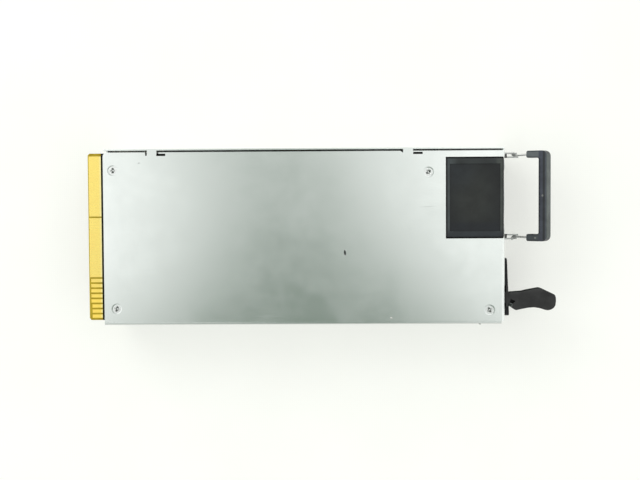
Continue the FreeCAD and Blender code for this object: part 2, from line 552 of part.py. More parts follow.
hs = fuse(hs, *[box(-52.0, -32.0, y, y + 1.4, 6.0, 26.1) for y in (3, 8, 13, 18, 23, 28, 33, 36.5)])
save("rectifier_heatsink", hs)
save("oring_transistors", *[box(-62.5, -57.5, y, y + 6.0, 29.9, PCB_Z0) for y in (-10, -1, 8, 17, 26)])
save("output_capacitors", *[cylz(12.0, PCB_Z0, x, y, 5.0) for x in (-69.0, -81.0)
                            for y in (36.0, 24.5, 13.0, 1.5, -10.0)])
save("output_busbars", box(-96.0, -91.8, 12.0, 28.6, 24.0, PCB_Z0), box(-96.0, -91.8, -19.0, 9.0, 24.0, PCB_Z0))
save("control_board", box(-88.0, -50.0, -27.2, -25.6, 6.0, PCB_Z0))
save("control_chips", box(-84.0, -74.0, -28.8, -27.2, 12.0, 22.0), box(-68.0, -62.0, -28.4, -27.2, 12.0, 18.0),
     box(-58.0, -53.0, -28.6, -27.2, 14.0, 19.0), box(-82.0, -77.0, -25.6, -24.4, 10.0, 15.0))

for name, s in nodes.items():
    if not s.isValid():
        print("invalid", name)
print(len(nodes), "nodes")
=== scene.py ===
import json
import math
import random

import bmesh
import bpy
from mathutils import Matrix, Vector

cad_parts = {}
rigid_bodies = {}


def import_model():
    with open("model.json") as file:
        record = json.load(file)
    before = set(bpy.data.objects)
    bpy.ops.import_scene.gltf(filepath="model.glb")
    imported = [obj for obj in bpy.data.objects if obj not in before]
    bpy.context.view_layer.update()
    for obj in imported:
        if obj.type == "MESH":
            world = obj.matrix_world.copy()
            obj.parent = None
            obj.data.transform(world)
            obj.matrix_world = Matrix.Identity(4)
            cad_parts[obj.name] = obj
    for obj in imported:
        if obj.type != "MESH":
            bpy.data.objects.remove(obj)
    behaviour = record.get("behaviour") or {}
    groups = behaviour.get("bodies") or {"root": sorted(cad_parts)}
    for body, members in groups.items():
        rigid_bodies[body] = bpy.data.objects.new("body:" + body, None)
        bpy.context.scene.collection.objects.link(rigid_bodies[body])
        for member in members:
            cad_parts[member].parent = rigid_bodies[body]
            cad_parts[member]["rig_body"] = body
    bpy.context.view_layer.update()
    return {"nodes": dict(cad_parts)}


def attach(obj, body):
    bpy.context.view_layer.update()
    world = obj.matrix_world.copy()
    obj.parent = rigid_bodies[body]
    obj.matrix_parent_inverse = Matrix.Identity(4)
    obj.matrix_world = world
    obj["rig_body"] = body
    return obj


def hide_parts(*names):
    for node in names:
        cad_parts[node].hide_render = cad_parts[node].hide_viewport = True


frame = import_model()
NODES = frame["nodes"]
scene = bpy.context.scene
MM = 0.001
random.seed(7)

# ======================================================================
# camera
# ======================================================================
turn = Vector((-0.0431844, 0.01944384, -0.00527698))
cam_data = bpy.data.cameras.new("view_camera")
cam_data.sensor_width = 36.0
cam_data.lens = 68.34
cam_data.clip_start = 0.02
cam_data.clip_end = 20.0
camera = bpy.data.objects.new("view_camera", cam_data)
scene.collection.objects.link(camera)
camera.matrix_world = (Matrix.Translation((0.019894, 0.023958, 0.634567))
                       @ Matrix.Rotation(turn.length, 4, turn.normalized()))
scene.camera = camera
scene.view_settings.view_transform = "Standard"


# ======================================================================
# node helpers
# ======================================================================
def lin(r, g, b):
    out = []
    for c in (r, g, b):
        c = c / 255.0
        out.append(c / 12.92 if c <= 0.04045 else ((c + 0.055) / 1.055) ** 2.4)
    return (out[0], out[1], out[2], 1.0)


class Tree:
    """A material with a Principled shader and short ways to add nodes to it."""

    def __init__(self, name):
        self.mat = bpy.data.materials.new(name)
        self.mat.use_nodes = True
        self.nt = self.mat.node_tree
        self.nt.nodes.clear()
        self.out = self.nt.nodes.new("ShaderNodeOutputMaterial")
        self.bsdf = self.nt.nodes.new("ShaderNodeBsdfPrincipled")
        self.nt.links.new(self.bsdf.outputs[0], self.out.inputs["Surface"])
        self.coord = self.nt.nodes.new("ShaderNodeTexCoord").outputs["Object"]
        self._xyz = None

    def put(self, value, socket):
        if isinstance(value, bpy.types.NodeSocket):
            self.nt.links.new(value, socket)
        elif value is not None:
            socket.default_value = value

    def set(self, **kw):
        for key, value in kw.items():
            self.put(value, self.bsdf.inputs[key.replace("_", " ")])
        return self

    def xyz(self):
        """Object coordinates in millimetres, as three sockets."""
        if self._xyz is None:
            s = self.nt.nodes.new("ShaderNodeVectorMath")
            s.operation = "SCALE"
            s.inputs["Scale"].default_value = 1000.0
            self.nt.links.new(self.coord, s.inputs[0])
            p = self.nt.nodes.new("ShaderNodeSeparateXYZ")
            self.nt.links.new(s.outputs[0], p.inputs[0])
            self._xyz = (p.outputs[0], p.outputs[1], p.outputs[2])
        return self._xyz

    def facing(self):
        """The surface normal's three components."""
        g = self.nt.nodes.new("ShaderNodeNewGeometry")
        p = self.nt.nodes.new("ShaderNodeSeparateXYZ")
        self.nt.links.new(g.outputs["Normal"], p.inputs[0])
        return p.outputs[0], p.outputs[1], p.outputs[2]

    def both(self, *masks):
        out = masks[0]
        for k in masks[1:]:
            out = self.m("MULTIPLY", out, k)
        return out

    def m(self, op, a, b=None, c=None, clamp=False):
        n = self.nt.nodes.new("ShaderNodeMath")
        n.operation = op
        n.use_clamp = clamp
        for i, v in enumerate((a, b, c)):
            if v is not None:
                self.put(v, n.inputs[i])
        return n.outputs[0]

    def move(self, scale=(1, 1, 1), offset=(0, 0, 0), rot=(0, 0, 0), vec=None):
        n = self.nt.nodes.new("ShaderNodeMapping")
        n.inputs["Location"].default_value = offset
        n.inputs["Rotation"].default_value = rot
        n.inputs["Scale"].default_value = scale
        self.nt.links.new(vec or self.coord, n.inputs[0])
        return n.outputs[0]

    def noise(self, size, detail=3.0, rough=0.5, vec=None, distort=0.0):
        """Noise whose features are about size millimetres."""
        n = self.nt.nodes.new("ShaderNodeTexNoise")
        n.inputs["Scale"].default_value = 1000.0 / size
        n.inputs["Detail"].default_value = detail
        n.inputs["Roughness"].default_value = rough
        n.inputs["Distortion"].default_value = distort
        self.nt.links.new(vec or self.coord, n.inputs["Vector"])
        return n.outputs[0]

    def voronoi(self, size, vec=None, feature="F1", out=0):
        n = self.nt.nodes.new("ShaderNodeTexVoronoi")
        n.feature = feature
        n.inputs["Scale"].default_value = 1000.0 / size
        self.nt.links.new(vec or self.coord, n.inputs["Vector"])
        return n.outputs[out]

    def wave(self, size, axis="X", distort=0.0, vec=None, profile="SIN"):
        n = self.nt.nodes.new("ShaderNodeTexWave")
        n.wave_type = "BANDS"
        n.bands_direction = axis
        n.wave_profile = profile
        n.inputs["Scale"].default_value = 1000.0 / size * 0.314
        n.inputs["Distortion"].default_value = distort
        n.inputs["Detail"].default_value = 1.0
        self.nt.links.new(vec or self.coord, n.inputs["Vector"])
        return n.outputs["Fac"]

    def fit(self, v, a, b, c, d, smooth=False):
        """Maps a..b to c..d, clamped."""
        n = self.nt.nodes.new("ShaderNodeMapRange")
        n.clamp = True
        if smooth:
            n.interpolation_type = "SMOOTHSTEP"
        self.put(v, n.inputs["Value"])
        for k, x in (("From Min", a), ("From Max", b), ("To Min", c), ("To Max", d)):
            n.inputs[k].default_value = x
        return n.outputs[0]

    def mix(self, fac, a, b, blend="MIX"):
        n = self.nt.nodes.new("ShaderNodeMix")
        n.data_type = "RGBA"
        n.blend_type = blend
        n.clamp_factor = True
        self.put(fac, n.inputs[0])
        self.put(a, n.inputs[6])
        self.put(b, n.inputs[7])
        return n.outputs[2]

    def bump(self, height, micron, strength=1.0, normal=None):
        n = self.nt.nodes.new("ShaderNodeBump")
        n.inputs["Strength"].default_value = strength
        n.inputs["Distance"].default_value = micron * 1e-6
        self.nt.links.new(height, n.inputs["Height"])
        if normal is not None:
            self.nt.links.new(normal, n.inputs["Normal"])
        return n.outputs[0]

    def spot(self, x, y, rx, ry, turn_deg=0.0, soft=0.35, axes=(0, 1)):
        """1 inside an ellipse centred at (x, y) mm on the given axes, 0 outside."""
        p = self.xyz()
        u = self.m("SUBTRACT", p[axes[0]], x)
        v = self.m("SUBTRACT", p[axes[1]], y)
        ca, sa = math.cos(math.radians(turn_deg)), math.sin(math.radians(turn_deg))
        a = self.m("ADD", self.m("MULTIPLY", u, ca / rx), self.m("MULTIPLY", v, sa / rx))
        b = self.m("SUBTRACT", self.m("MULTIPLY", v, ca / ry), self.m("MULTIPLY", u, sa / ry))
        d = self.m("SQRT", self.m("ADD", self.m("MULTIPLY", a, a), self.m("MULTIPLY", b, b)))
        return self.fit(d, 1.0 - soft, 1.0 + soft, 1.0, 0.0, smooth=True)


def shade(color, k):
    return (min(1, color[0] * k), min(1, color[1] * k), min(1, color[2] * k), 1.0)


MATS = {}


# ---- metals ----------------------------------------------------------
def metal(name, color, rough, shift=0.0, blotch=0.03, blotch_size=14.0, grain=(1.6, 0.22, 0.22),
          grain_um=1.2, scratch=0.5, rough_var=0.05):
    """Rolled or drawn metal: faint blotches, a directional grain, hairline scratches."""
    t = Tree(name)
    base = t.move(offset=(shift, shift * 1.7, shift * 0.6))
    big = t.noise(blotch_size, 3.0, 0.55, vec=base, distort=0.4)
    mid = t.noise(blotch_size * 0.28, 2.0, 0.5, vec=base)
    g = t.move(scale=(1.0 / grain[0], 1.0 / grain[1], 1.0 / grain[2]), offset=(shift, 0, 0))
    fine = t.noise(1.0, 3.0, 0.6, vec=g)
    s = t.move(scale=(1.0 / 26.0, 1.0 / 0.34, 1.0 / 0.34), offset=(0, shift, 0), rot=(0, 0, math.radians(4)))
    hair = t.fit(t.noise(1.0, 2.0, 0.45, vec=s), 0.69, 0.76, 0.0, 1.0, smooth=True)
    tone = t.fit(t.m("ADD", t.m("MULTIPLY", big, 0.7), t.m("MULTIPLY", mid, 0.3)), 0.36, 0.64, 0.0, 1.0)
    col = t.mix(tone, shade(color, 1.0 - blotch), shade(color, 1.0 + blotch * 0.6))
    col = t.mix(t.m("MULTIPLY", hair, 0.10 * scratch), col, shade(color, 0.72))
    r = t.m("ADD", t.fit(tone, 0, 1, rough + rough_var, rough - rough_var),
            t.m("MULTIPLY", t.m("SUBTRACT", fine, 0.5), 0.10))
    r = t.m("ADD", r, t.m("MULTIPLY", hair, 0.08 * scratch), clamp=True)
    height = t.m("ADD", fine, t.m("MULTIPLY", hair, -0.8 * scratch))
    t.set(Base_Color=col, Roughness=r, Metallic=1.0, Normal=t.bump(height, grain_um))
    MATS[name] = t.mat
    return t, col, r


ZINC = (0.86, 0.885, 0.868, 1.0)
t, col, r = metal("plated_sheet", ZINC, 0.17, shift=0.0, blotch=0.012, blotch_size=24.0, rough_var=0.02)
# one small dark scuff on the panel and a soft lighter rub beside it
p = t.xyz()
on_top = t.fit(p[2], 39.4, 39.7, 0.0, 1.0)
tick = t.m("MULTIPLY", t.spot(20.45, -8.0, 0.56, 1.40, turn_deg=8.0, soft=0.25), on_top)
speck = t.m("MULTIPLY", t.spot(-80.3, 36.4, 0.55, 0.45, soft=0.6), on_top)
rub = t.m("MULTIPLY", t.spot(4.6, -26.0, 3.2, 1.5, turn_deg=-10.0, soft=0.7), on_top)
line = t.m("MULTIPLY", t.spot(60.5, 14.3, 3.6, 0.13, turn_deg=3.0, soft=0.5), on_top)
col = t.mix(t.m("MULTIPLY", rub, 0.35), col, (0.97, 0.985, 0.975, 1.0))
col = t.mix(t.m("MULTIPLY", line, 0.28), col, (0.40, 0.42, 0.41, 1.0))
col = t.mix(t.m("MULTIPLY", speck, 0.35), col, (0.42, 0.44, 0.43, 1.0))
col = t.mix(tick, col, (0.004, 0.010, 0.006, 1.0))
# sheared edges of the bail ears, and painted shade on the web between them
nx, ny, nz = t.facing()
ear = t.fit(p[0], 98.7, 98.9, 0.0, 1.0)
cut_face = t.fit(t.m("ABSOLUTE", ny), 0.45, 0.6, 1.0, 0.0)
web_shade_mask = t.both(ear, t.fit(p[0], 101.95, 102.05, 1.0, 0.0), t.fit(p[2], 17.5, 17.8, 0.0, 1.0),
             t.fit(p[2], 22.15, 22.25, 1.0, 0.0), t.fit(p[0], 101.0, 101.15, 0.0, 1.0))
shear = t.noise(1.0, 2.0, 0.5, vec=t.move(scale=(1 / 1.4, 1 / 0.2, 1 / 0.2)))
edge_tone = t.mix(t.fit(shear, 0.35, 0.65, 0.0, 1.0), (0.34, 0.35, 0.34, 1.0), (0.50, 0.51, 0.50, 1.0))
col = t.mix(t.both(ear, cut_face), col, edge_tone)
# painted shade: the web between the ears darkened to near black
col = t.mix(t.both(web_shade_mask, cut_face), col, (0.07, 0.07, 0.07, 1.0))
# the folds: painted shade darkens the bend low on the latch side; matt at the fan end
fold_shade_mask = t.both(t.fit(p[1], -41.5, -42.0, 0.0, 1.0), t.fit(p[2], 36.0, 37.5, 0.0, 1.0), t.fit(nz, 0.93, 0.62, 0.0, 1.0))
col = t.mix(t.both(fold_shade_mask, 0.85), col, shade(ZINC, 0.62))
fold_x = t.both(t.fit(p[0], 96.7, 96.9, 0.0, 1.0), t.fit(p[0], 98.65, 98.7, 1.0, 0.0), t.fit(p[2], 36.0, 37.5, 0.0, 1.0),
                t.fit(nx, 0.25, 0.6, 0.0, 1.0))
# painted shade: a soft dark ring round each countersunk dimple
dimple_rim_shade = None
for sx, sy in ((-93.3, 32.85), (61.4, 31.3), (-92.0, -35.3), (91.2, -36.4)):
    du, dv = t.m("SUBTRACT", p[0], sx), t.m("SUBTRACT", p[1], sy)
    d = t.m("SQRT", t.m("ADD", t.m("MULTIPLY", du, du), t.m("MULTIPLY", dv, dv)))
    rim_shade_band = t.fit(t.m("ABSOLUTE", t.m("SUBTRACT", d, 2.55)), 0.10, 0.30, 1.0, 0.0, smooth=True)
    dimple_rim_shade = rim_shade_band if dimple_rim_shade is None else t.m("MAXIMUM", dimple_rim_shade, rim_shade_band)
col = t.mix(t.both(dimple_rim_shade, on_top, 0.22), col, (0.40, 0.42, 0.41, 1.0))
t.set(Base_Color=col,
      Roughness=t.m("ADD", t.m("ADD", r, t.m("MULTIPLY", tick, 0.3)), t.m("MULTIPLY", t.both(ear, cut_face), 0.25)),
      Metallic=t.m("SUBTRACT", t.m("SUBTRACT", 1.0, tick), t.m("MULTIPLY", fold_x, 0.75), clamp=True))
metal("cover_sheet", ZINC, 0.19, shift=0.31, blotch=0.014, blotch_size=22.0, rough_var=0.02)
metal("grille_sheet", shade(ZINC, 0.96), 0.26, shift=0.52)
metal("inner_sheet", shade(ZINC, 0.92), 0.34, shift=0.77)
t, col, r = metal("screw_steel", (0.88, 0.89, 0.88, 1.0), 0.20, shift=0.13, blotch_size=2.0, grain=(0.2, 0.2, 0.2))
# the driver recess of each panel screw: painted shade in its wings round a painted highlight at the bottom
p = t.xyz()
head = t.fit(p[2], 38.6, 38.7, 0.0, 1.0)
recess_shade, centre = None, None
for i, (sx, sy, a) in enumerate(((-93.3, 32.85, 88.0), (61.4, 31.3, 35.0), (-92.0, -35.3, 70.0), (91.2, -36.4, 118.0))):
    ca, sa = math.cos(math.radians(a)), math.sin(math.radians(a))
    du, dv = t.m("SUBTRACT", p[0], sx), t.m("SUBTRACT", p[1], sy)
    along = t.m("ABSOLUTE", t.m("ADD", t.m("MULTIPLY", du, ca), t.m("MULTIPLY", dv, sa)))
    across = t.m("ABSOLUTE", t.m("SUBTRACT", t.m("MULTIPLY", dv, ca), t.m("MULTIPLY", du, sa)))
    deep_wing_shade = t.both(t.fit(along, 1.25, 1.45, 1.0, 0.0), t.fit(across, 0.42, 0.58, 1.0, 0.0))
    half_wing_shade = t.both(t.fit(across, 1.15, 1.35, 1.0, 0.0), t.fit(along, 0.30, 0.42, 1.0, 0.0), 0.45)
    wing_shade = t.m("MAXIMUM", deep_wing_shade, half_wing_shade)
    recess_shade = wing_shade if recess_shade is None else t.m("MAXIMUM", recess_shade, wing_shade)
    dot = t.m("MAXIMUM", along, across)
    dot = t.fit(dot, 0.26, 0.36, 1.0, 0.0)
    centre = dot if centre is None else t.m("MAXIMUM", centre, dot)
recess_shade = t.both(recess_shade, head)
centre = t.both(centre, head)
col = t.mix(t.m("MULTIPLY", recess_shade, 0.9), col, (0.10, 0.11, 0.10, 1.0))
# painted highlight: a bright dot at the bottom of each recess
col = t.mix(centre, col, (0.93, 0.94, 0.93, 1.0))
t.set(Base_Color=col, Roughness=t.m("ADD", r, t.m("MULTIPLY", recess_shade, 0.2)))
metal("nickel_steel", (0.70, 0.69, 0.66, 1.0), 0.26, shift=0.93, blotch_size=3.0, grain=(0.3, 0.3, 0.3))
metal("guard_steel", (0.62, 0.63, 0.63, 1.0), 0.30, shift=0.41, blotch_size=6.0, grain=(0.3, 0.3, 0.3))
metal("wire_steel", (0.72, 0.72, 0.71, 1.0), 0.40, shift=0.21, blotch_size=2.5, grain=(0.25, 0.25, 1.2))
metal("aluminium_fin", (0.80, 0.81, 0.83, 1.0), 0.36, shift=0.61, blotch_size=9.0, grain=(0.3, 0.3, 2.0))
metal("aluminium_can", (0.84, 0.85, 0.87, 1.0), 0.30, shift=0.67, blotch_size=5.0, grain=(0.15, 0.15, 0.15))
metal("copper_bar", (0.90, 0.50, 0.32, 1.0), 0.34, shift=0.37, blotch=0.12, blotch_size=5.0)


def gold():
    """Hard gold over nickel: warm, a little darker towards the free end, with faint wipe marks."""
    t = Tree("gold_plate")
    p = t.xyz()
    wipe = t.noise(1.0, 2.0, 0.5, vec=t.move(scale=(1 / 6.0, 1 / 0.35, 1 / 0.35)))
    cloud = t.noise(5.0, 2.0, 0.5)
    low = t.fit(p[1], -16.0, -34.0, 0.0, 1.0, smooth=True)
    tip = t.fit(p[0], -106.6, -101.2, 1.0, 0.0)
    pale = t.fit(p[0], -101.6, -100.5, 0.0, 1.0, smooth=True)
    col = t.mix(low, (1.0, 0.78, 0.215, 1.0), (1.0, 0.74, 0.145, 1.0))
    col = t.mix(t.m("MULTIPLY", pale, 0.7), col, (1.0, 0.90, 0.47, 1.0))
    col = t.mix(t.m("MULTIPLY", t.m("MULTIPLY", tip, t.fit(cloud, 0.4, 0.62, 0.0, 1.0)), 0.18), col,
                (1.0, 0.66, 0.20, 1.0))
    col = t.mix(t.m("MULTIPLY", t.fit(wipe, 0.5, 0.7, 0.0, 1.0), 0.08), col, (0.80, 0.56, 0.12, 1.0))
    rough = t.m("ADD", t.fit(wipe, 0.3, 0.7, 0.24, 0.36), t.m("MULTIPLY", low, 0.14))
    t.set(Base_Color=col, Roughness=rough, Metallic=1.0, Normal=t.bump(wipe, 1.5))
    MATS["gold_plate"] = t.mat


gold()


def board():
    """Board: bare olive laminate with its glass weave at the card edge, black mask behind it."""
    t = Tree("board_mask")
    p = t.xyz()
    warp = t.wave(0.42, "X")
    weft = t.wave(0.42, "Y")
    weave = t.m("MAXIMUM", warp, weft)
    cloud = t.noise(3.0, 3.0, 0.5)
    bare = t.fit(p[0], -100.45, -100.35, 1.0, 0.0)
    olive = t.mix(t.fit(cloud, 0.35, 0.65, 0.0, 1.0), lin(150, 128, 22), lin(174, 150, 36))
    olive = t.mix(t.m("MULTIPLY", weave, 0.22), olive, lin(196, 172, 72))
    edge = t.fit(p[0], -106.0, -106.6, 0.0, 1.0)
    olive = t.mix(t.m("MULTIPLY", edge, 0.55), olive, lin(190, 168, 62))
    mask = t.mix(t.fit(cloud, 0.4, 0.6, 0.0, 1.0), lin(14, 13, 7), lin(24, 22, 13))
    col = t.mix(bare, mask, olive)
    rough = t.m("ADD", t.fit(bare, 0.0, 1.0, 0.34, 0.55), t.m("MULTIPLY", cloud, 0.08))
    t.set(Base_Color=col, Roughness=rough, Normal=t.bump(t.m("ADD", weave, cloud), 6.0))
    t.bsdf.inputs["Specular IOR Level"].default_value = 0.12
    MATS["board_mask"] = t.mat


board()


# ---- plastics --------------------------------------------------------
def plastic(name, color, rough=0.42, grain=0.28, um=9.0, vary=0.18, dust=0.05, spec=0.5, size=9.0, shift=0.0):
    """Moulded plastic: spark-eroded grain, slight tone changes, a little dust in it."""
    t = Tree(name)
    base = t.move(offset=(shift, -shift, shift * 0.5))
    fine = t.noise(grain, 2.0, 0.55, vec=base)
    cells = t.voronoi(grain * 2.2, vec=base)
    cloud = t.noise(size, 3.0, 0.55, vec=base, distort=0.3)
    tone = t.fit(cloud, 0.35, 0.65, 0.0, 1.0)
    col = t.mix(tone, shade(color, 1.0 - vary), shade(color, 1.0 + vary))
    speck = t.fit(t.noise(0.45, 1.0, 0.4, vec=base), 0.70, 0.78, 0.0, 1.0)
    pale = (color[0] * 0.5 + 0.25, color[1] * 0.5 + 0.25, color[2] * 0.5 + 0.24, 1.0)
    col = t.mix(t.m("MULTIPLY", speck, dust), col, pale)
    r = t.m("ADD", t.fit(tone, 0, 1, rough + 0.05, rough - 0.05), t.m("MULTIPLY", t.m("SUBTRACT", fine, 0.5), 0.16))
    height = t.m("ADD", t.m("MULTIPLY", fine, 0.6), t.m("MULTIPLY", cells, 0.4))
    t.set(Base_Color=col, Roughness=r, Normal=t.bump(height, um))
    t.bsdf.inputs["Specular IOR Level"].default_value = spec
    MATS[name] = t.mat
    return t, col, r


t, col, r = plastic("fan_plastic", lin(38, 41, 40), 0.40, size=7.0, spec=0.35)
# painted light and shade: the flanges and posts are painted lighter, the recessed side darker, with a painted pool of
# light and a cool painted reflection on the recess
p = t.xyz()
flange = t.fit(p[2], 39.62, 39.72, 0.0, 1.0)
side = t.fit(p[2], 36.0, 36.4, 0.0, 1.0)
light_pool_paint = t.spot(83.5, 18.6, 9.5, 12.5, soft=0.75)
cool_reflection_paint = t.spot(76.0, 33.0, 7.0, 9.0, soft=0.8)
recess_light_and_shade = t.mix(light_pool_paint, (0.36, 0.38, 0.44, 1.0), (0.87, 0.85, 0.81, 1.0))
recess_light_and_shade = t.mix(t.m("MULTIPLY", cool_reflection_paint, 0.6), recess_light_and_shade, (0.70, 0.78, 1.0, 1.0))
land_highlight_paint = t.mix(t.fit(p[0], 72.0, 76.0, 0.0, 1.0, smooth=True), (2.0, 2.1, 2.25, 1.0), (1.04, 1.07, 1.14, 1.0))
land_highlight_paint = t.mix(t.fit(p[0], 93.5, 95.8, 0.0, 1.0, smooth=True), land_highlight_paint, (2.0, 2.0, 1.9, 1.0))
land_highlight_paint = t.mix(t.fit(p[1], 4.0, 1.0, 0.0, 1.0, smooth=True), land_highlight_paint, (0.95, 1.0, 1.25, 1.0))
# painted shade: a cool darker band along the recess's lower end
recess_light_and_shade = t.mix(t.both(t.fit(p[1], 7.6, 5.2, 0.0, 1.0, smooth=True), 0.75), recess_light_and_shade, (0.34, 0.38, 0.56, 1.0))
# painted shadow: the outer rim of the fan's top face darkened to near black, where the gap to the panel is
gap_shadow_paint = t.m("MAXIMUM", t.m("SUBTRACT", t.m("ABSOLUTE", t.m("SUBTRACT", p[0], 84.1)), 13.30),
          t.m("SUBTRACT", t.m("ABSOLUTE", t.m("SUBTRACT", p[1], 18.65)), 19.15))
gap_shadow_paint = t.both(t.fit(gap_shadow_paint, 0.0, 0.25, 0.0, 1.0), side)
# the painted light and shade, as a colour gain over the plastic
gain = t.mix(flange, recess_light_and_shade, land_highlight_paint)
gain = t.mix(side, (1.0, 1.0, 1.0, 1.0), gain)
col = t.mix(1.0, col, gain, blend="MULTIPLY")
col = t.mix(t.m("MULTIPLY", gap_shadow_paint, 0.9), col, (0.004, 0.004, 0.005, 1.0))
t.set(Base_Color=col, Roughness=t.m("ADD", r, t.m("MULTIPLY", gap_shadow_paint, 0.2)))
t, col, r = plastic("grip_plastic", lin(54, 57, 60), 0.38, size=6.0, spec=0.3)
# painted light and shade on the moulded grip: dark at its inner edge, a painted shaded valley
# along the face, a painted highlight where it rolls over to the outside; two small lighter spots
p = t.xyz()
cs, sn = math.cos(math.radians(35.0)), math.sin(math.radians(35.0))
px = t.m("SUBTRACT", p[0], 105.0)
pz = t.m("SUBTRACT", p[2], 20.0)
gs = t.m("ADD", t.m("MULTIPLY", px, cs), t.m("MULTIPLY", pz, sn))
gh = t.m("SUBTRACT", t.m("MULTIPLY", pz, cs), t.m("MULTIPLY", px, sn))
gy = t.m("ABSOLUTE", t.m("SUBTRACT", p[1], 19.2))
face = t.fit(gh, 1.75, 1.95, 0.0, 1.0)
bar = t.fit(gs, 15.3, 15.5, 0.0, 1.0)
inner = t.fit(gs, 15.85, 16.45, 1.0, 0.0, smooth=True)
valley_shade_paint = t.fit(t.m("ABSOLUTE", t.m("SUBTRACT", gs, 18.25)), 0.25, 0.85, 1.0, 0.0, smooth=True)
rollover_highlight_paint = t.fit(gs, 18.9, 19.9, 0.0, 1.0, smooth=True)
inside = t.fit(gy, 18.4, 18.9, 1.0, 0.0)
tone = t.mix(t.both(inner, inside), (1.3, 1.3, 1.55, 1.0), (0.38, 0.38, 0.48, 1.0))
tone = t.mix(valley_shade_paint, tone, (0.55, 0.57, 0.56, 1.0))
tone = t.mix(rollover_highlight_paint, tone, (2.30, 2.40, 2.15, 1.0))
# painted light and shade on the stubs: the upper stub lighter, darker near their edges
stub_edge_shade = t.fit(t.m("ABSOLUTE", t.m("SUBTRACT", gy, 20.7)), 0.9, 1.5, 0.0, 1.0, smooth=True)
upper = t.fit(p[1], 19.0, 19.4, 0.0, 1.0)
stub_light_and_shade = t.mix(upper, (1.50, 1.55, 1.55, 1.0), (3.00, 3.00, 2.85, 1.0))
stub_light_and_shade = t.mix(stub_edge_shade, stub_light_and_shade, t.mix(1.0, stub_light_and_shade, (0.45, 0.45, 0.45, 1.0), blend="MULTIPLY"))
tone = t.mix(bar, stub_light_and_shade, tone)
# painted light and shade on the side faces: lighter at the outer end
side_light_and_shade = t.mix(t.fit(gs, 19.6, 19.9, 0.0, 1.0), (0.8, 0.8, 0.8, 1.0), (2.2, 2.3, 2.05, 1.0))
tone = t.mix(face, side_light_and_shade, tone)
col = t.mix(1.0, col, tone, blend="MULTIPLY")
marks = t.m("MAXIMUM", t.spot(118.15, 19.4, 0.40, 0.55, soft=0.4, axes=(0, 1)),
            t.spot(114.95, -1.62, 0.45, 0.45, soft=0.4, axes=(0, 1)))
t.set(Base_Color=t.mix(t.both(marks, face, 0.5), col, lin(150, 152, 146)))
t, col, r = plastic("lever_plastic", lin(52, 52, 52), 0.50, size=8.0, shift=0.2, spec=0.3)
# rubbed step at the lever's root
step = t.spot(101.6, -34.2, 0.9, 0.9, soft=0.4)
col = t.mix(t.m("MULTIPLY", step, 0.6), col, lin(112, 118, 116))
nx, ny, nz = t.facing()
# the thumb rest's slope catches more light than its flats
slope = t.both(t.fit(ny, 0.06, 0.16, 0.0, 1.0), t.fit(nz, 0.985, 0.96, 0.0, 1.0))
col = t.mix(slope, col, t.mix(1.0, col, (1.3, 1.3, 1.3, 1.0), blend="MULTIPLY"))
# painted shade: the side walls darkened to near black
wall_shade_paint = t.fit(nz, 0.35, 0.75, 1.0, 0.0)
col = t.mix(t.m("MULTIPLY", wall_shade_paint, 0.8), col, lin(14, 16, 12))
t.set(Base_Color=col, Roughness=t.m("MAXIMUM", r, t.m("MULTIPLY", wall_shade_paint, 0.95)))
t.bsdf.inputs["IOR"].default_value = 1.22
plastic("rotor_plastic", lin(40, 42, 42), 0.36, shift=0.4)
plastic("inlet_plastic", lin(22, 23, 25), 0.38, shift=0.5, spec=0.3)
plastic("black_screw", lin(30, 30, 31), 0.30, grain=0.5, um=3.0, shift=0.1)
plastic("white_plastic", lin(226, 222, 208), 0.34, um=4.0, vary=0.03, shift=0.3)
plastic("led_body", lin(214, 226, 208), 0.22, um=2.0, vary=0.04, shift=0.6)
plastic("ceramic_tube", lin(228, 222, 210), 0.45, um=6.0, vary=0.05, shift=0.7)
plastic("yellow_case", lin(232, 190, 40), 0.34, um=5.0, vary=0.05, shift=0.8)
plastic("blue_disc", lin(48, 98, 168), 0.30, um=12.0, vary=0.10, size=3.0, shift=0.9)
plastic("green_disc", lin(58, 96, 52), 0.34, um=12.0, vary=0.12, size=3.0, shift=1.0)
plastic("ferrite", lin(58, 58, 60), 0.58, grain=0.20, um=14.0, vary=0.14, shift=1.1)
plastic("iron_powder", lin(196, 168, 60), 0.44, grain=0.25, um=10.0, vary=0.08, shift=1.2)
plastic("relay_case", lin(30, 42, 66), 0.34, um=4.0, vary=0.08, shift=1.3)
plastic("chip_epoxy", lin(36, 36, 38), 0.46, grain=0.16, um=5.0, vary=0.10, shift=1.4)
plastic("bobbin_plastic", lin(46, 40, 36), 0.44, um=5.0, vary=0.10, shift=1.5)
plastic("green_board", lin(28, 92, 52), 0.34, grain=0.5, um=5.0, vary=0.12, shift=1.6)
plastic("capacitor_sleeve", lin(30, 34, 52), 0.26, grain=1.4, um=4.0, vary=0.10, shift=1.7)


def film(name, color, rough, alpha_like, shift):
    """Die-cut insulating film: calendered streaks and soft creases."""
    t = Tree(name)
    streak = t.noise(1.0, 2.0, 0.5, vec=t.move(scale=(1 / 9.0, 1 / 0.9, 1 / 0.9), offset=(shift, 0, 0)))
    crease = t.noise(12.0, 3.0, 0.5)
    col = t.mix(t.fit(streak, 0.35, 0.65, 0, 1), shade(color, 0.9), shade(color, 1.08))
    t.set(Base_Color=col, Roughness=t.fit(crease, 0.3, 0.7, rough - 0.06, rough + 0.08),
          Normal=t.bump(t.m("ADD", streak, t.m("MULTIPLY", crease, 3.0)), 14.0))
    t.bsdf.inputs["Transmission Weight"].default_value = alpha_like
    MATS[name] = t.mat


film("insulation_film", lin(196, 192, 176), 0.34, 0.25, 0.2)
film("yellow_tape", lin(222, 176, 58), 0.38, 0.0, 0.6)


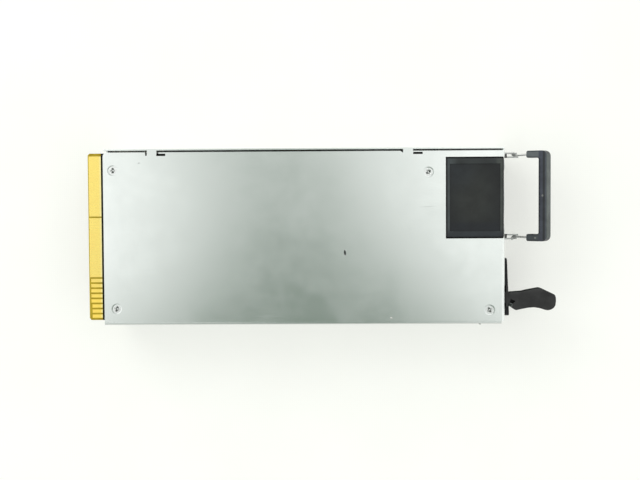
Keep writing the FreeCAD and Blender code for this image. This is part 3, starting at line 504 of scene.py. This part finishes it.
def foam():
    t = Tree("foam")
    cell = t.voronoi(0.55, feature="DISTANCE_TO_EDGE")
    cloud = t.noise(4.0, 2.0)
    col = t.mix(t.fit(cell, 0.0, 0.2, 0, 1), lin(58, 58, 58), lin(32, 32, 33))
    col = t.mix(t.fit(cloud, 0.4, 0.6, 0, 0.3), col, lin(64, 64, 62))
    t.set(Base_Color=col, Roughness=0.9, Normal=t.bump(cell, 90.0))
    t.bsdf.inputs["Sheen Weight"].default_value = 0.2
    MATS["foam"] = t.mat


foam()


def light_pipe():
    t = Tree("light_pipe")
    haze = t.noise(0.8, 2.0)
    t.set(Base_Color=t.mix(t.fit(haze, 0.3, 0.7, 0, 1), (0.86, 0.92, 0.88, 1), (0.95, 0.97, 0.95, 1)),
          Roughness=t.fit(haze, 0.3, 0.7, 0.10, 0.24), Normal=t.bump(haze, 2.0))
    t.bsdf.inputs["Transmission Weight"].default_value = 0.75
    t.bsdf.inputs["IOR"].default_value = 1.49
    MATS["light_pipe"] = t.mat


light_pipe()


def copper_wire():
    """Enamelled wire: copper under a clear reddish enamel."""
    t = Tree("copper_wire")
    n = t.noise(1.2, 2.0)
    col = t.mix(t.fit(n, 0.35, 0.65, 0, 1), (0.62, 0.24, 0.09, 1), (0.80, 0.36, 0.16, 1))
    t.set(Base_Color=col, Roughness=t.fit(n, 0.3, 0.7, 0.24, 0.36), Metallic=0.9, Normal=t.bump(n, 3.0))
    t.bsdf.inputs["Coat Weight"].default_value = 0.5
    t.bsdf.inputs["Coat Roughness"].default_value = 0.12
    MATS["copper_wire"] = t.mat


copper_wire()
for lead_name, lead_rgb in (("lead_red", (166, 26, 24)), ("lead_black", (26, 26, 27)),
                            ("lead_yellow", (214, 178, 38)), ("lead_blue", (34, 62, 142))):
    plastic(lead_name, lin(*lead_rgb), 0.36, grain=0.3, um=3.0, vary=0.06)
MATS["lead_insulation"] = MATS["lead_black"]


# ======================================================================
# mesh helpers
# ======================================================================
def new_object(name, mesh):
    o = bpy.data.objects.new(name, mesh)
    scene.collection.objects.link(o)
    return o


def soften(o, width_mm, segments=2, angle=35.0):
    """Small rounded edges, then normals that keep the flats flat."""
    if width_mm > 0:
        b = o.modifiers.new("edge_rounding", "BEVEL")
        b.width = width_mm * MM
        b.segments = segments
        b.limit_method = "ANGLE"
        b.angle_limit = math.radians(angle)
        b.use_clamp_overlap = True
    o.data.polygons.foreach_set("use_smooth", [True] * len(o.data.polygons))
    w = o.modifiers.new("flat_normals", "WEIGHTED_NORMAL")
    w.mode = "FACE_AREA"
    w.weight = 50
    w.keep_sharp = True
    return o


def dress(node, bevel=0.1, slot=None, material=None, segments=2, angle=35.0, flat=0.5):
    """The CAD node's own shape in a clean mesh with rounded edges and its finish."""
    src = NODES[node]
    bm = bmesh.new()
    bm.from_mesh(src.data)
    bmesh.ops.remove_doubles(bm, verts=bm.verts, dist=2e-6)
    bmesh.ops.dissolve_degenerate(bm, dist=1e-6, edges=bm.edges)
    bmesh.ops.dissolve_limit(bm, angle_limit=math.radians(flat), use_dissolve_boundaries=False,
                             verts=bm.verts, edges=bm.edges)
    bmesh.ops.recalc_face_normals(bm, faces=bm.faces)
    index = {v: i for i, v in enumerate(bm.verts)}
    verts = [v.co.copy() for v in bm.verts]
    faces = [[index[v] for v in f.verts] for f in bm.faces]
    sharp = []
    bm.edges.ensure_lookup_table()
    for e in bm.edges:
        if len(e.link_faces) == 2 and e.calc_face_angle(0.0) > math.radians(angle):
            sharp.append(frozenset((index[e.verts[0]], index[e.verts[1]])))
    bm.free()
    me = bpy.data.meshes.new(node + "_shape")
    me.from_pydata(verts, [], faces)
    if bevel <= 0:
        flagged = set(sharp)
        marks = [frozenset(e.vertices) in flagged for e in me.edges]
        att = me.attributes.new("sharp_edge", "BOOLEAN", "EDGE")
        att.data.foreach_set("value", marks)
    me.update()
    o = new_object(node + "_finish", me)
    me.materials.append(MATS[material or slot])
    soften(o, bevel, segments, angle)
    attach(o, src["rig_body"])
    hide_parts(node)
    return o


def mesh_piece(name, verts, faces, body, nodes, mats, smooth=True, face_mats=None):
    me = bpy.data.meshes.new(name)
    me.from_pydata([Vector(v) * MM for v in verts], [], faces)
    for m in mats:
        me.materials.append(MATS[m])
    if face_mats:
        me.polygons.foreach_set("material_index", face_mats)
    if smooth:
        me.polygons.foreach_set("use_smooth", [True] * len(me.polygons))
    me.validate()
    me.update()
    o = new_object(name, me)
    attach(o, body)
    if nodes:
        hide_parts(*nodes)
    return o


class Build:
    """Collects vertices and faces, in millimetres, of one piece."""

    def __init__(self):
        self.v, self.f, self.m = [], [], []

    def add(self, verts, faces, mat=0):
        k = len(self.v)
        self.v += [tuple(p) for p in verts]
        self.f += [[i + k for i in f] for f in faces]
        self.m += [mat] * len(faces)

    def tube(self, path, radius, seg=12, mat=0, closed=False, caps=True):
        """A round bar swept along points, with frames that don't twist."""
        pts = [Vector(p) for p in path]
        n = len(pts)
        tang = []
        for i in range(n):
            if closed:
                d = pts[(i + 1) % n] - pts[i - 1]
            else:
                d = pts[min(i + 1, n - 1)] - pts[max(i - 1, 0)]
            tang.append(d.normalized())
        up = Vector((0, 0, 1)) if abs(tang[0].z) < 0.9 else Vector((1, 0, 0))
        side = tang[0].cross(up).normalized()
        dimple_rim_shade = []
        for i in range(n):
            side = (side - tang[i] * side.dot(tang[i])).normalized()
            up = tang[i].cross(side)
            dimple_rim_shade.append([pts[i] + (side * math.cos(2 * math.pi * k / seg) + up * math.sin(2 * math.pi * k / seg)) * radius
                          for k in range(seg)])
        verts, faces = [], []
        if not closed and caps:
            # rounded ends
            def dome(ring, centre, direction):
                out = []
                for j, (a, s) in enumerate(((0.55, 0.84), (0.86, 0.51))):
                    out.append([centre + (q - centre) * s + direction * radius * a * 0.6 for q in ring])
                return out

            first = dome(dimple_rim_shade[0], pts[0], -tang[0])
            last = dome(dimple_rim_shade[-1], pts[-1], tang[-1])
            dimple_rim_shade = [first[1], first[0]] + dimple_rim_shade + [last[0], last[1]]
        for r in dimple_rim_shade:
            verts += r
        count = len(dimple_rim_shade)
        for i in range(count if closed else count - 1):
            a, b = i * seg, ((i + 1) % count) * seg
            for k in range(seg):
                faces.append([a + k, a + (k + 1) % seg, b + (k + 1) % seg, b + k])
        if not closed and caps:
            faces.append([k for k in range(seg)][::-1])
            faces.append([(count - 1) * seg + k for k in range(seg)])
        self.add(verts, faces, mat)

    def lathe(self, profile, origin, axis, seg=48, mats=None):
        """Turns (along, radius) points about an axis through origin; ends at radius 0 close with a fan."""
        ax = Vector(axis).normalized()
        up = Vector((0, 0, 1)) if abs(ax.z) < 0.9 else Vector((0, 1, 0))
        e1 = ax.cross(up).normalized()
        e2 = ax.cross(e1)
        o = Vector(origin)
        dimple_rim_shade, verts, faces, fm = [], [], [], []
        for a, r in profile:
            if r < 1e-6:
                dimple_rim_shade.append([len(verts)])
                verts.append(o + ax * a)
            else:
                dimple_rim_shade.append(list(range(len(verts), len(verts) + seg)))
                verts += [o + ax * a + (e1 * math.cos(2 * math.pi * k / seg) + e2 * math.sin(2 * math.pi * k / seg)) * r
                          for k in range(seg)]
        for i in range(len(dimple_rim_shade) - 1):
            p, q = dimple_rim_shade[i], dimple_rim_shade[i + 1]
            for k in range(seg):
                k2 = (k + 1) % seg
                if len(p) == 1 and len(q) == 1:
                    continue
                if len(p) == 1:
                    faces.append([p[0], q[k2], q[k]])
                elif len(q) == 1:
                    faces.append([p[k], p[k2], q[0]])
                else:
                    faces.append([p[k], p[k2], q[k2], q[k]])
                fm.append(mats[i] if mats else 0)
        k0 = len(self.v)
        self.v += [tuple(p) for p in verts]
        self.f += [[i + k0 for i in f] for f in faces]
        self.m += fm

    def done(self, name, body, nodes, mats, smooth=True):
        o = mesh_piece(name, self.v, self.f, body, nodes, mats, smooth, self.m)
        bm = bmesh.new()
        bm.from_mesh(o.data)
        bmesh.ops.recalc_face_normals(bm, faces=bm.faces)
        bm.to_mesh(o.data)
        bm.free()
        return o


def rounded(points, radius, steps=6):
    """The polyline with each inner corner replaced by an arc of about that radius."""
    pts = [Vector(p) for p in points]
    out = [pts[0]]
    for a, b, c in zip(pts, pts[1:], pts[2:]):
        u, w = (a - b), (c - b)
        lu, lw = u.length, w.length
        u.normalize()
        w.normalize()
        ang = u.angle(w)
        if ang > math.radians(179):
            out.append(b)
            continue
        d = min(radius / math.tan(ang / 2), lu * 0.48, lw * 0.48)
        p, q = b + u * d, b + w * d
        for k in range(steps + 1):
            s = k / steps
            out.append(p * (1 - s) ** 2 + b * 2 * s * (1 - s) + q * s ** 2)
    out.append(pts[-1])
    return out


# ======================================================================
# outside pieces, from their CAD shapes
# ======================================================================
dress("chassis_base", 0.10, "plated_sheet")
dress("chassis_cover", 0.10, "cover_sheet")
dress("front_grille", 0.10, "grille_sheet")
dress("fan_bracket", 0.08, "inner_sheet")
dress("panel_screws", 0.05, "screw_steel")
dress("cover_screws", 0.05, "screw_steel")
dress("board_screws", 0.06, "screw_steel")
dress("guard_screws", 0.05, "black_screw")
dress("board_standoffs", 0.10, "nickel_steel")
dress("finger_guard", 0.10, "guard_steel")
dress("fan_frame", 0.22, "fan_plastic")
dress("release_lever", 0.14, "lever_plastic", segments=3)
dress("bail_grip", 0.20, "grip_plastic", segments=3)
dress("ac_inlet_housing", 0.20, "inlet_plastic", segments=3)
dress("ac_inlet_pins", 0.22, "nickel_steel")
dress("main_board", 0.0, "board_mask")
dress("power_pads", 0.02, "gold_plate")
dress("signal_pads", 0.02, "gold_plate")
dress("latch_pivot_pin", 0.08, "nickel_steel")
dress("status_light_pipe", 0.20, "light_pipe", segments=3)

# ======================================================================
# inside pieces, from their CAD shapes
# ======================================================================
for node, bevel, slot in (
        ("insulation_sheet", 0.0, "insulation_film"), ("fan_side_baffle", 0.0, "insulation_film"),
        ("fan_bearings", 0.10, "nickel_steel"), ("fan_shaft", 0.12, "nickel_steel"),
        ("fan_magnet", 0.20, "ferrite"), ("fan_plug", 0.25, "white_plastic"),
        ("inlet_leads", 0.15, "copper_bar"), ("status_led", 0.30, "led_body"),
        ("fuse", 0.30, "ceramic_tube"), ("fuse_clips", 0.12, "nickel_steel"),
        ("x_capacitors", 0.60, "yellow_case"), ("y_capacitors", 1.10, "blue_disc"),
        ("inrush_thermistor", 1.40, "green_disc"), ("inrush_relay", 0.40, "relay_case"),
        ("bridge_rectifier", 0.40, "chip_epoxy"), ("power_transistors", 0.30, "chip_epoxy"),
        ("oring_transistors", 0.15, "chip_epoxy"), ("control_chips", 0.15, "chip_epoxy"),
        ("bridge_heatsink", 0.12, "aluminium_fin"), ("primary_heatsink", 0.12, "aluminium_fin"),
        ("rectifier_heatsink", 0.12, "aluminium_fin"), ("filter_choke_core", 0.70, "ferrite"),
        ("pfc_choke_core", 0.70, "iron_powder"), ("transformer_core", 0.40, "ferrite"),
        ("resonant_inductor", 0.50, "ferrite"), ("standby_transformer", 0.50, "yellow_tape"),
        ("transformer_base", 0.30, "bobbin_plastic"), ("output_busbars", 0.25, "copper_bar"),
        ("control_board", 0.0, "green_board")):
    dress(node, bevel, slot)
dress("fan_gasket", 0.12, "foam")


# ---- impeller: seven twisted, cambered blades on a domed hub ------------
def impeller():
    FY, FZ = 18.65, 20.0
    b = Build()
    b.lathe([(72.6, 0.0), (72.6, 9.6), (72.75, 10.4), (73.2, 10.85), (73.8, 11.0), (92.4, 11.0), (92.6, 10.9),
             (92.6, 10.1), (92.4, 10.0), (74.2, 10.0), (74.0, 9.9), (74.0, 0.0)], (0, FY, FZ), (1, 0, 0), 64)
    # shallow ring on the hub's front face
    b.lathe([(72.58, 0.0), (72.52, 0.6), (72.5, 3.2), (72.55, 3.5), (72.62, 3.6)], (0, FY, FZ), (1, 0, 0), 32)
    radial, chord = 9, 13
    for blade in range(7):
        a0 = 2 * math.pi * blade / 7
        top, bottom = [], []
        for i in range(radial + 1):
            t = i / radial
            r = 10.7 + (18.2 - 10.7) * t
            pitch = math.radians(41.0 - 7.0 * t)
            sweep = math.radians(5.0) * t * t
            half = 1.0 - 0.05 * t
            row_t, row_b = [], []
            for j in range(chord + 1):
                s = -1 + 2 * j / chord
                x = s * 8.7 * half
                camber = 1.15 * (1 - s * s)
                th = (0.62 - 0.20 * t) * math.sqrt(max(0.0, 1 - s * s)) * (1.0 - 0.25 * s) + 0.05
                off = x * math.tan(pitch) + camber
                for sign, row in ((1, row_t), (-1, row_b)):
                    o2 = off + sign * th * 0.5 / math.cos(pitch)
                    ang = a0 + o2 / r + sweep
                    row.append((83.0 + x, FY - r * math.sin(ang), FZ + r * math.cos(ang)))
            top.append(row_t)
            bottom.append(row_b)
        verts = [q for row in top for q in row] + [q for row in bottom for q in row]
        w = chord + 1
        n = (radial + 1) * w
        faces = []
        for i in range(radial):
            for j in range(chord):
                a = i * w + j
                faces.append([a, a + 1, a + w + 1, a + w])
                faces.append([n + a, n + a + w, n + a + w + 1, n + a + 1])
        for i in range(radial):
            a = i * w
            faces.append([a, a + w, n + a + w, n + a])
            c = a + chord
            faces.append([c, n + c, n + c + w, c + w])
        for j in range(chord):
            a = radial * w + j
            faces.append([a, a + 1, n + a + 1, n + a])
        b.add(verts, faces)
    o = b.done("fan_impeller_finish", "fan_rotor", ["fan_impeller"], ["rotor_plastic"])
    o.data.polygons.foreach_set("use_smooth", [True] * len(o.data.polygons))
    w = o.modifiers.new("flat_normals", "WEIGHTED_NORMAL")
    w.mode = "FACE_AREA"
    return o


impeller()


# ---- bail wire -----------------------------------------------------------
def bail_wire():
    tilt = math.radians(35.0)

    def place(s, y):
        return (105.0 + s * math.cos(tilt), 19.2 + y, 20.0 + s * math.sin(tilt))

    flat = [(0, 22.0), (0, 20.4), (1.6, 20.4), (8.8, 20.725), (17.7, 20.725), (17.7, -20.725), (8.8, -20.725),
            (1.6, -20.4), (0, -20.4), (0, -22.0)]
    b = Build()
    b.tube(rounded([place(s, y) for s, y in flat], 0.9, 7), 0.55, 16)
    return b.done("bail_wire_finish", "bail", ["bail_wire"], ["wire_steel"])


bail_wire()


# ---- fan leads -----------------------------------------------------------
def fan_leads():
    b = Build()
    for k in range(4):
        z = 24.2 + 1.25 * k
        b.tube(rounded([(80.0, 40.2, z), (67.8, 40.2, z), (65.0, 37.4, z), (63.5, 37.4, z)], 2.2, 7), 0.53, 14, mat=k)
    return b.done("fan_leads_finish", "chassis", ["fan_leads"],
                  ["lead_red", "lead_black", "lead_yellow", "lead_blue"])


fan_leads()


# ---- torsion spring on the lever's pivot -----------------------------------
def spring():
    px, py = 43.1, -40.2
    path = [(38.2, py - 1.35, 34.70), (40.4, py - 1.35, 34.70)]
    turns, steps = 2.5, 60
    for i in range(steps + 1):
        a = -math.pi / 2 + 2 * math.pi * turns * i / steps
        path.append((px + 1.35 * math.cos(a), py + 1.35 * math.sin(a), 34.70 + 1.15 * i / steps))
    path += [(46.0, py + 1.35, 35.85), (52.0, py + 1.35, 35.85)]
    # the last half turn arrives at the far side, so the leg leaves along +X
    b = Build()
    b.tube(path, 0.25, 10)
    return b.done("latch_return_spring_finish", "latch", ["latch_return_spring"], ["wire_steel"])


spring()


# ---- wound parts -------------------------------------------------------------
def loop_path(centre, axis, angle, r_in, r_out, half, grow):
    """A rounded rectangle round a toroid's section at that angle."""
    c = Vector(centre)
    if axis == "x":
        ax, e1, e2 = Vector((1, 0, 0)), Vector((0, 1, 0)), Vector((0, 0, 1))
    else:
        ax, e1, e2 = Vector((0, 1, 0)), Vector((1, 0, 0)), Vector((0, 0, 1))
    rad = e1 * math.cos(angle) + e2 * math.sin(angle)
    a, b2, h, k = r_in - grow, r_out + grow, half + grow, 1.1
    out = []
    for cr, ch, start in ((b2 - k, h - k, 0), (a + k, h - k, 90), (a + k, -h + k, 180), (b2 - k, -h + k, 270)):
        for s in range(5):
            th = math.radians(start + 90 * s / 4)
            out.append(c + rad * (cr + k * math.cos(th)) + ax * (ch + k * math.sin(th)))
    return out


def windings():
    b = Build()
    for sign in (-1, 1):
        for i in range(11):
            a = math.radians((90 if sign > 0 else 270) - 90 + sign * 0 + (-58 + 11.6 * i) + (0 if sign > 0 else 0))
            # two halves, one on each side of the gap in the middle
            ang = a if sign > 0 else a
            b.tube(loop_path((54.0, -27.2, 16.2), "x", ang, 6.0, 11.5, 4.5, 0.62), 0.55, 8, closed=True)
    b.done("filter_choke_windings_finish", "chassis", ["filter_choke_windings"], ["copper_wire"])
    b = Build()
    n = 27
    for i in range(n):
        ang = math.radians(90 + 22 + (360 - 44) * i / (n - 1))
        b.tube(loop_path((8.0, -29.6, 16.0), "y", ang, 6.0, 11.5, 4.6, 0.62), 0.52, 8, closed=True)
    b.done("pfc_choke_winding_finish", "chassis", ["pfc_choke_winding"], ["copper_wire"])
    b = Build()
    profile = [(9.2, 5.9), (9.2, 12.0)]
    mats = [1]
    z = 9.3
    while z < 23.2:
        profile += [(z, 12.0), (z + 0.22, 12.2), (z + 0.62, 12.2), (z + 0.84, 12.0)]
        z += 0.87
    profile += [(23.4, 12.0), (23.4, 5.9), (9.2, 5.9)]
    mats = [1] + [0] * (len(profile) - 4) + [1, 1]
    b.lathe(profile, (-9.0, 20.0, 0), (0, 0, 1), 56, mats)
    b.done("transformer_winding_finish", "chassis", ["transformer_winding"],
           ["yellow_tape", "bobbin_plastic"])
    # stator: four wound teeth round the hub
    b = Build()
    FY, FZ = 18.65, 20.0
    b.lathe([(79.5, 3.7), (79.5, 4.9), (89.5, 4.9), (89.5, 3.7), (79.5, 3.7)], (0, FY, FZ), (1, 0, 0), 40, [0, 0, 0, 0])
    for k in range(4):
        mid = math.radians(90 * k)
        arc = []
        for x in (79.5, 89.5):
            for r in (7.3, 8.5):
                for s in range(9):
                    th = mid + math.radians(-36 + 72 * s / 8)
                    arc.append((x, FY - r * math.sin(th), FZ + r * math.cos(th)))
        faces = []
        for s in range(8):
            faces += [[s, s + 1, 9 + s + 1, 9 + s], [18 + s, 27 + s, 27 + s + 1, 18 + s + 1],
                      [s, 18 + s, 18 + s + 1, s + 1], [9 + s, 9 + s + 1, 27 + s + 1, 27 + s]]
        faces += [[0, 9, 27, 18], [8, 26, 35, 17]]
        b.add(arc, faces, 0)
        d = Vector((0, -math.sin(mid), math.cos(mid)))
        e = Vector((0, math.cos(mid), math.sin(mid)))
        core = []
        for r in (4.7, 7.5):
            for w in (-1.0, 1.0):
                for x in (80.3, 88.7):
                    core.append(Vector((x, FY, FZ)) + d * r + e * w)
        b.add(core, [[0, 1, 3, 2], [4, 6, 7, 5], [0, 4, 5, 1], [2, 3, 7, 6], [0, 2, 6, 4], [1, 5, 7, 3]], 0)
        for layer in range(5):
            r = 5.35 + 0.42 * layer
            path = rounded_rect(Vector((84.5, FY, FZ)) + d * r, Vector((1, 0, 0)), e, 4.6, 1.45, 0.6)
            b.tube(path, 0.21, 6, mat=1, closed=True)
    b.done("fan_stator_finish", "chassis", ["fan_stator"], ["chip_epoxy", "copper_wire"])


def rounded_rect(centre, u, v, hu, hv, k):
    out = []
    for su, sv, start in ((1, 1, 0), (-1, 1, 90), (-1, -1, 180), (1, -1, 270)):
        for s in range(4):
            th = math.radians(start + 30 * s)
            out.append(centre + u * (su * (hu - k) + k * math.cos(th)) + v * (sv * (hv - k) + k * math.sin(th)))
    return out


windings()


# ---- electrolytic capacitors ---------------------------------------------------
def capacitors():
    b = Build()
    R = 12.2
    for y in (26.2, 1.2):
        # rubber bung, crimp groove, sleeve, rolled sleeve edge, aluminium top
        prof = [(15.0, 0.0), (15.0, 9.4), (15.1, 9.6), (15.1, 10.9), (15.3, 11.4), (15.9, 11.8), (17.2, 12.05),
                (17.9, 11.5), (18.4, 11.2), (18.9, 11.5), (19.6, 12.1), (20.2, R), (56.8, R), (57.5, 12.05),
                (57.85, 11.6), (57.9, 11.1), (57.75, 10.7), (57.6, 10.6), (57.6, 0.0)]
        mats = [1, 1, 0, 0, 0, 0, 0, 0, 0, 0, 0, 0, 0, 0, 0, 0, 0, 2]
        b.lathe(prof, (0, y, 16.4), (1, 0, 0), 64, mats)
        # pressure relief score: three shallow ribs on the top
        for k in range(3):
            a = math.radians(90 + 120 * k)
            d = Vector((0, math.cos(a), math.sin(a)))
            b.tube([Vector((57.6, y, 16.4)) + d * 0.4, Vector((57.6, y, 16.4)) + d * 8.2], 0.16, 6, mat=2)
    b.done("bulk_capacitors_finish", "chassis", ["bulk_capacitors"],
           ["capacitor_sleeve", "rotor_plastic", "aluminium_can"])
    b = Build()
    r = 5.0
    for x in (-69.0, -81.0):
        for y in (36.0, 24.5, 13.0, 1.5, -10.0):
            prof = [(12.1, 0.0), (12.1, 3.9), (12.0, 4.4), (12.1, 4.75), (12.5, r), (27.6, r), (28.0, 4.75), (28.4, 4.55),
                    (28.8, 4.75), (29.2, r), (29.9, r), (30.0, 5.0), (30.05, 4.9), (30.1, 4.3), (31.2, 4.2), (31.2, 0.0)]
            mats = [0] * 12 + [1, 1, 1]
            b.lathe(prof, (x, y, 0), (0, 0, 1), 40, mats)
            for k in range(2):
                a = math.radians(45 + 90 * k)
                d = Vector((math.cos(a), math.sin(a), 0))
                c = Vector((x, y, 12.1))
                b.tube([c - d * 3.2, c + d * 3.2], 0.09, 6, mat=0)
    b.done("output_capacitors_finish", "chassis", ["output_capacitors"],
           ["aluminium_can", "rotor_plastic"])


capacitors()

# ======================================================================
# floor and light
# ======================================================================
me = bpy.data.meshes.new("floor")
bm = bmesh.new()
bmesh.ops.create_grid(bm, x_segments=12, y_segments=12, size=2.0)
for v in bm.verts:
    v.co.z = -0.0001
bm.to_mesh(me)
bm.free()
floor = new_object("floor", me)
t = Tree("floor_cloth")
thread = t.m("MAXIMUM", t.wave(1.1, "X"), t.wave(1.1, "Y"))
soft = t.noise(60.0, 2.0)
colour = t.mix(t.fit(soft, 0.3, 0.7, 0, 1), (0.50, 0.505, 0.475, 1), (0.52, 0.525, 0.497, 1))
t.set(Base_Color=colour, Roughness=0.8, Normal=t.bump(thread, 12.0), Emission_Color=(1.0, 1.0, 0.965, 1.0))
t.bsdf.inputs["Emission Strength"].default_value = 0.46
t.bsdf.inputs["Specular IOR Level"].default_value = 0.2
floor.data.materials.append(t.mat)

world = bpy.data.worlds.new("studio")
scene.world = world
world.use_nodes = True
wt = world.node_tree
wt.nodes.clear()


def wm(op, a, b=None, clamp=False):
    n = wt.nodes.new("ShaderNodeMath")
    n.operation = op
    n.use_clamp = clamp
    for i, v in enumerate((a, b)):
        if isinstance(v, bpy.types.NodeSocket):
            wt.links.new(v, n.inputs[i])
        elif v is not None:
            n.inputs[i].default_value = v
    return n.outputs[0]


tc = wt.nodes.new("ShaderNodeTexCoord")
sep = wt.nodes.new("ShaderNodeSeparateXYZ")
wt.links.new(tc.outputs["Generated"], sep.inputs[0])
zc = wm("MAXIMUM", sep.outputs[2], 0.05)
ry = wm("DIVIDE", sep.outputs[1], zc)
# a bright room with a soft dark band overhead that widens towards the latch side
dx = sep.outputs[0]


def bell(*terms):
    total = None
    for q in terms:
        q = wm("MULTIPLY", q, q)
        total = q if total is None else wm("ADD", total, q)
    return wm("EXPONENT", wm("MULTIPLY", total, -0.5))


u = wm("ADD", wm("ADD", dx, 0.0437), wm("MULTIPLY", ry, 0.2384))
right = wm("GREATER_THAN", u, 0.0)
width = wm("ADD", 0.0861, wm("MULTIPLY", right, 0.0734 - 0.0861))
g1 = bell(wm("DIVIDE", u, width), wm("DIVIDE", wm("ADD", ry, 0.1288), 0.5468))
g2 = bell(wm("DIVIDE", wm("ADD", dx, 0.0511), 0.2064), wm("DIVIDE", wm("ADD", ry, 0.1996), 0.0758))
g3 = bell(wm("DIVIDE", wm("SUBTRACT", dx, 0.45), 0.12))
level = wm("SUBTRACT", wm("SUBTRACT", 1.5506, wm("MULTIPLY", g1, 1.0966)), wm("MULTIPLY", g2, 1.3773))
level = wm("SUBTRACT", level, wm("MULTIPLY", g3, 0.75))
far_left = wm("DIVIDE", wm("SUBTRACT", -0.185, dx), 0.03, clamp=True)
level = wm("MINIMUM", wm("MAXIMUM", level, 0.26), wm("ADD", 1.10, wm("MULTIPLY", far_left, 0.16)))
# along the fan side the room is a little darker, and lighter beyond the fan
high = wm("DIVIDE", ry, 0.028, clamp=True)
beyond = wm("DIVIDE", wm("SUBTRACT", dx, 0.045), 0.055, clamp=True)
level = wm("ADD", level, wm("MULTIPLY", high, wm("SUBTRACT", wm("MULTIPLY", beyond, 0.15), 0.085)))
# low on the latch side the room is darker in the middle than at its ends
side_right = wm("GREATER_THAN", dx, 0.0)
low_width = wm("ADD", 0.12, wm("MULTIPLY", side_right, -0.052))
low = wm("SUBTRACT", 0.92, wm("MULTIPLY", bell(wm("DIVIDE", dx, low_width)), 0.64))
w = wm("DIVIDE", wm("SUBTRACT", -0.3447, ry), 0.14, clamp=True)
w = wm("MULTIPLY", wm("MULTIPLY", w, w), wm("SUBTRACT", 3.0, wm("MULTIPLY", w, 2.0)))
level = wm("ADD", wm("MULTIPLY", level, wm("SUBTRACT", 1.0, w)), wm("MULTIPLY", low, w))
join = wt.nodes.new("ShaderNodeCombineXYZ")
for i, (gain, lift) in enumerate(((1.1153, -0.1132), (1.0819, -0.0515), (1.1048, -0.0984))):
    wt.links.new(wm("MAXIMUM", wm("ADD", wm("MULTIPLY", level, gain), lift), 0.012), join.inputs[i])
bg = wt.nodes.new("ShaderNodeBackground")
wt.links.new(join.outputs[0], bg.inputs["Color"])
bg.inputs["Strength"].default_value = 1.0
wo = wt.nodes.new("ShaderNodeOutputWorld")
wt.links.new(bg.outputs[0], wo.inputs[0])


def area(name, where, at, size, watts, colour=(1, 1, 1)):
    d = bpy.data.lights.new(name, "AREA")
    d.shape = "DISK"
    d.size = size
    d.energy = watts
    d.color = colour
    o = bpy.data.objects.new(name, d)
    scene.collection.objects.link(o)
    o.location = where
    o.rotation_mode = "QUATERNION"
    o.rotation_quaternion = (Vector(at) - Vector(where)).to_track_quat("-Z", "Y")
    return o


area("key_panel", (-0.75, 0.85, 1.15), (0.0, 0.0, 0.0), 0.8, 4.0, (1.0, 0.995, 0.98))
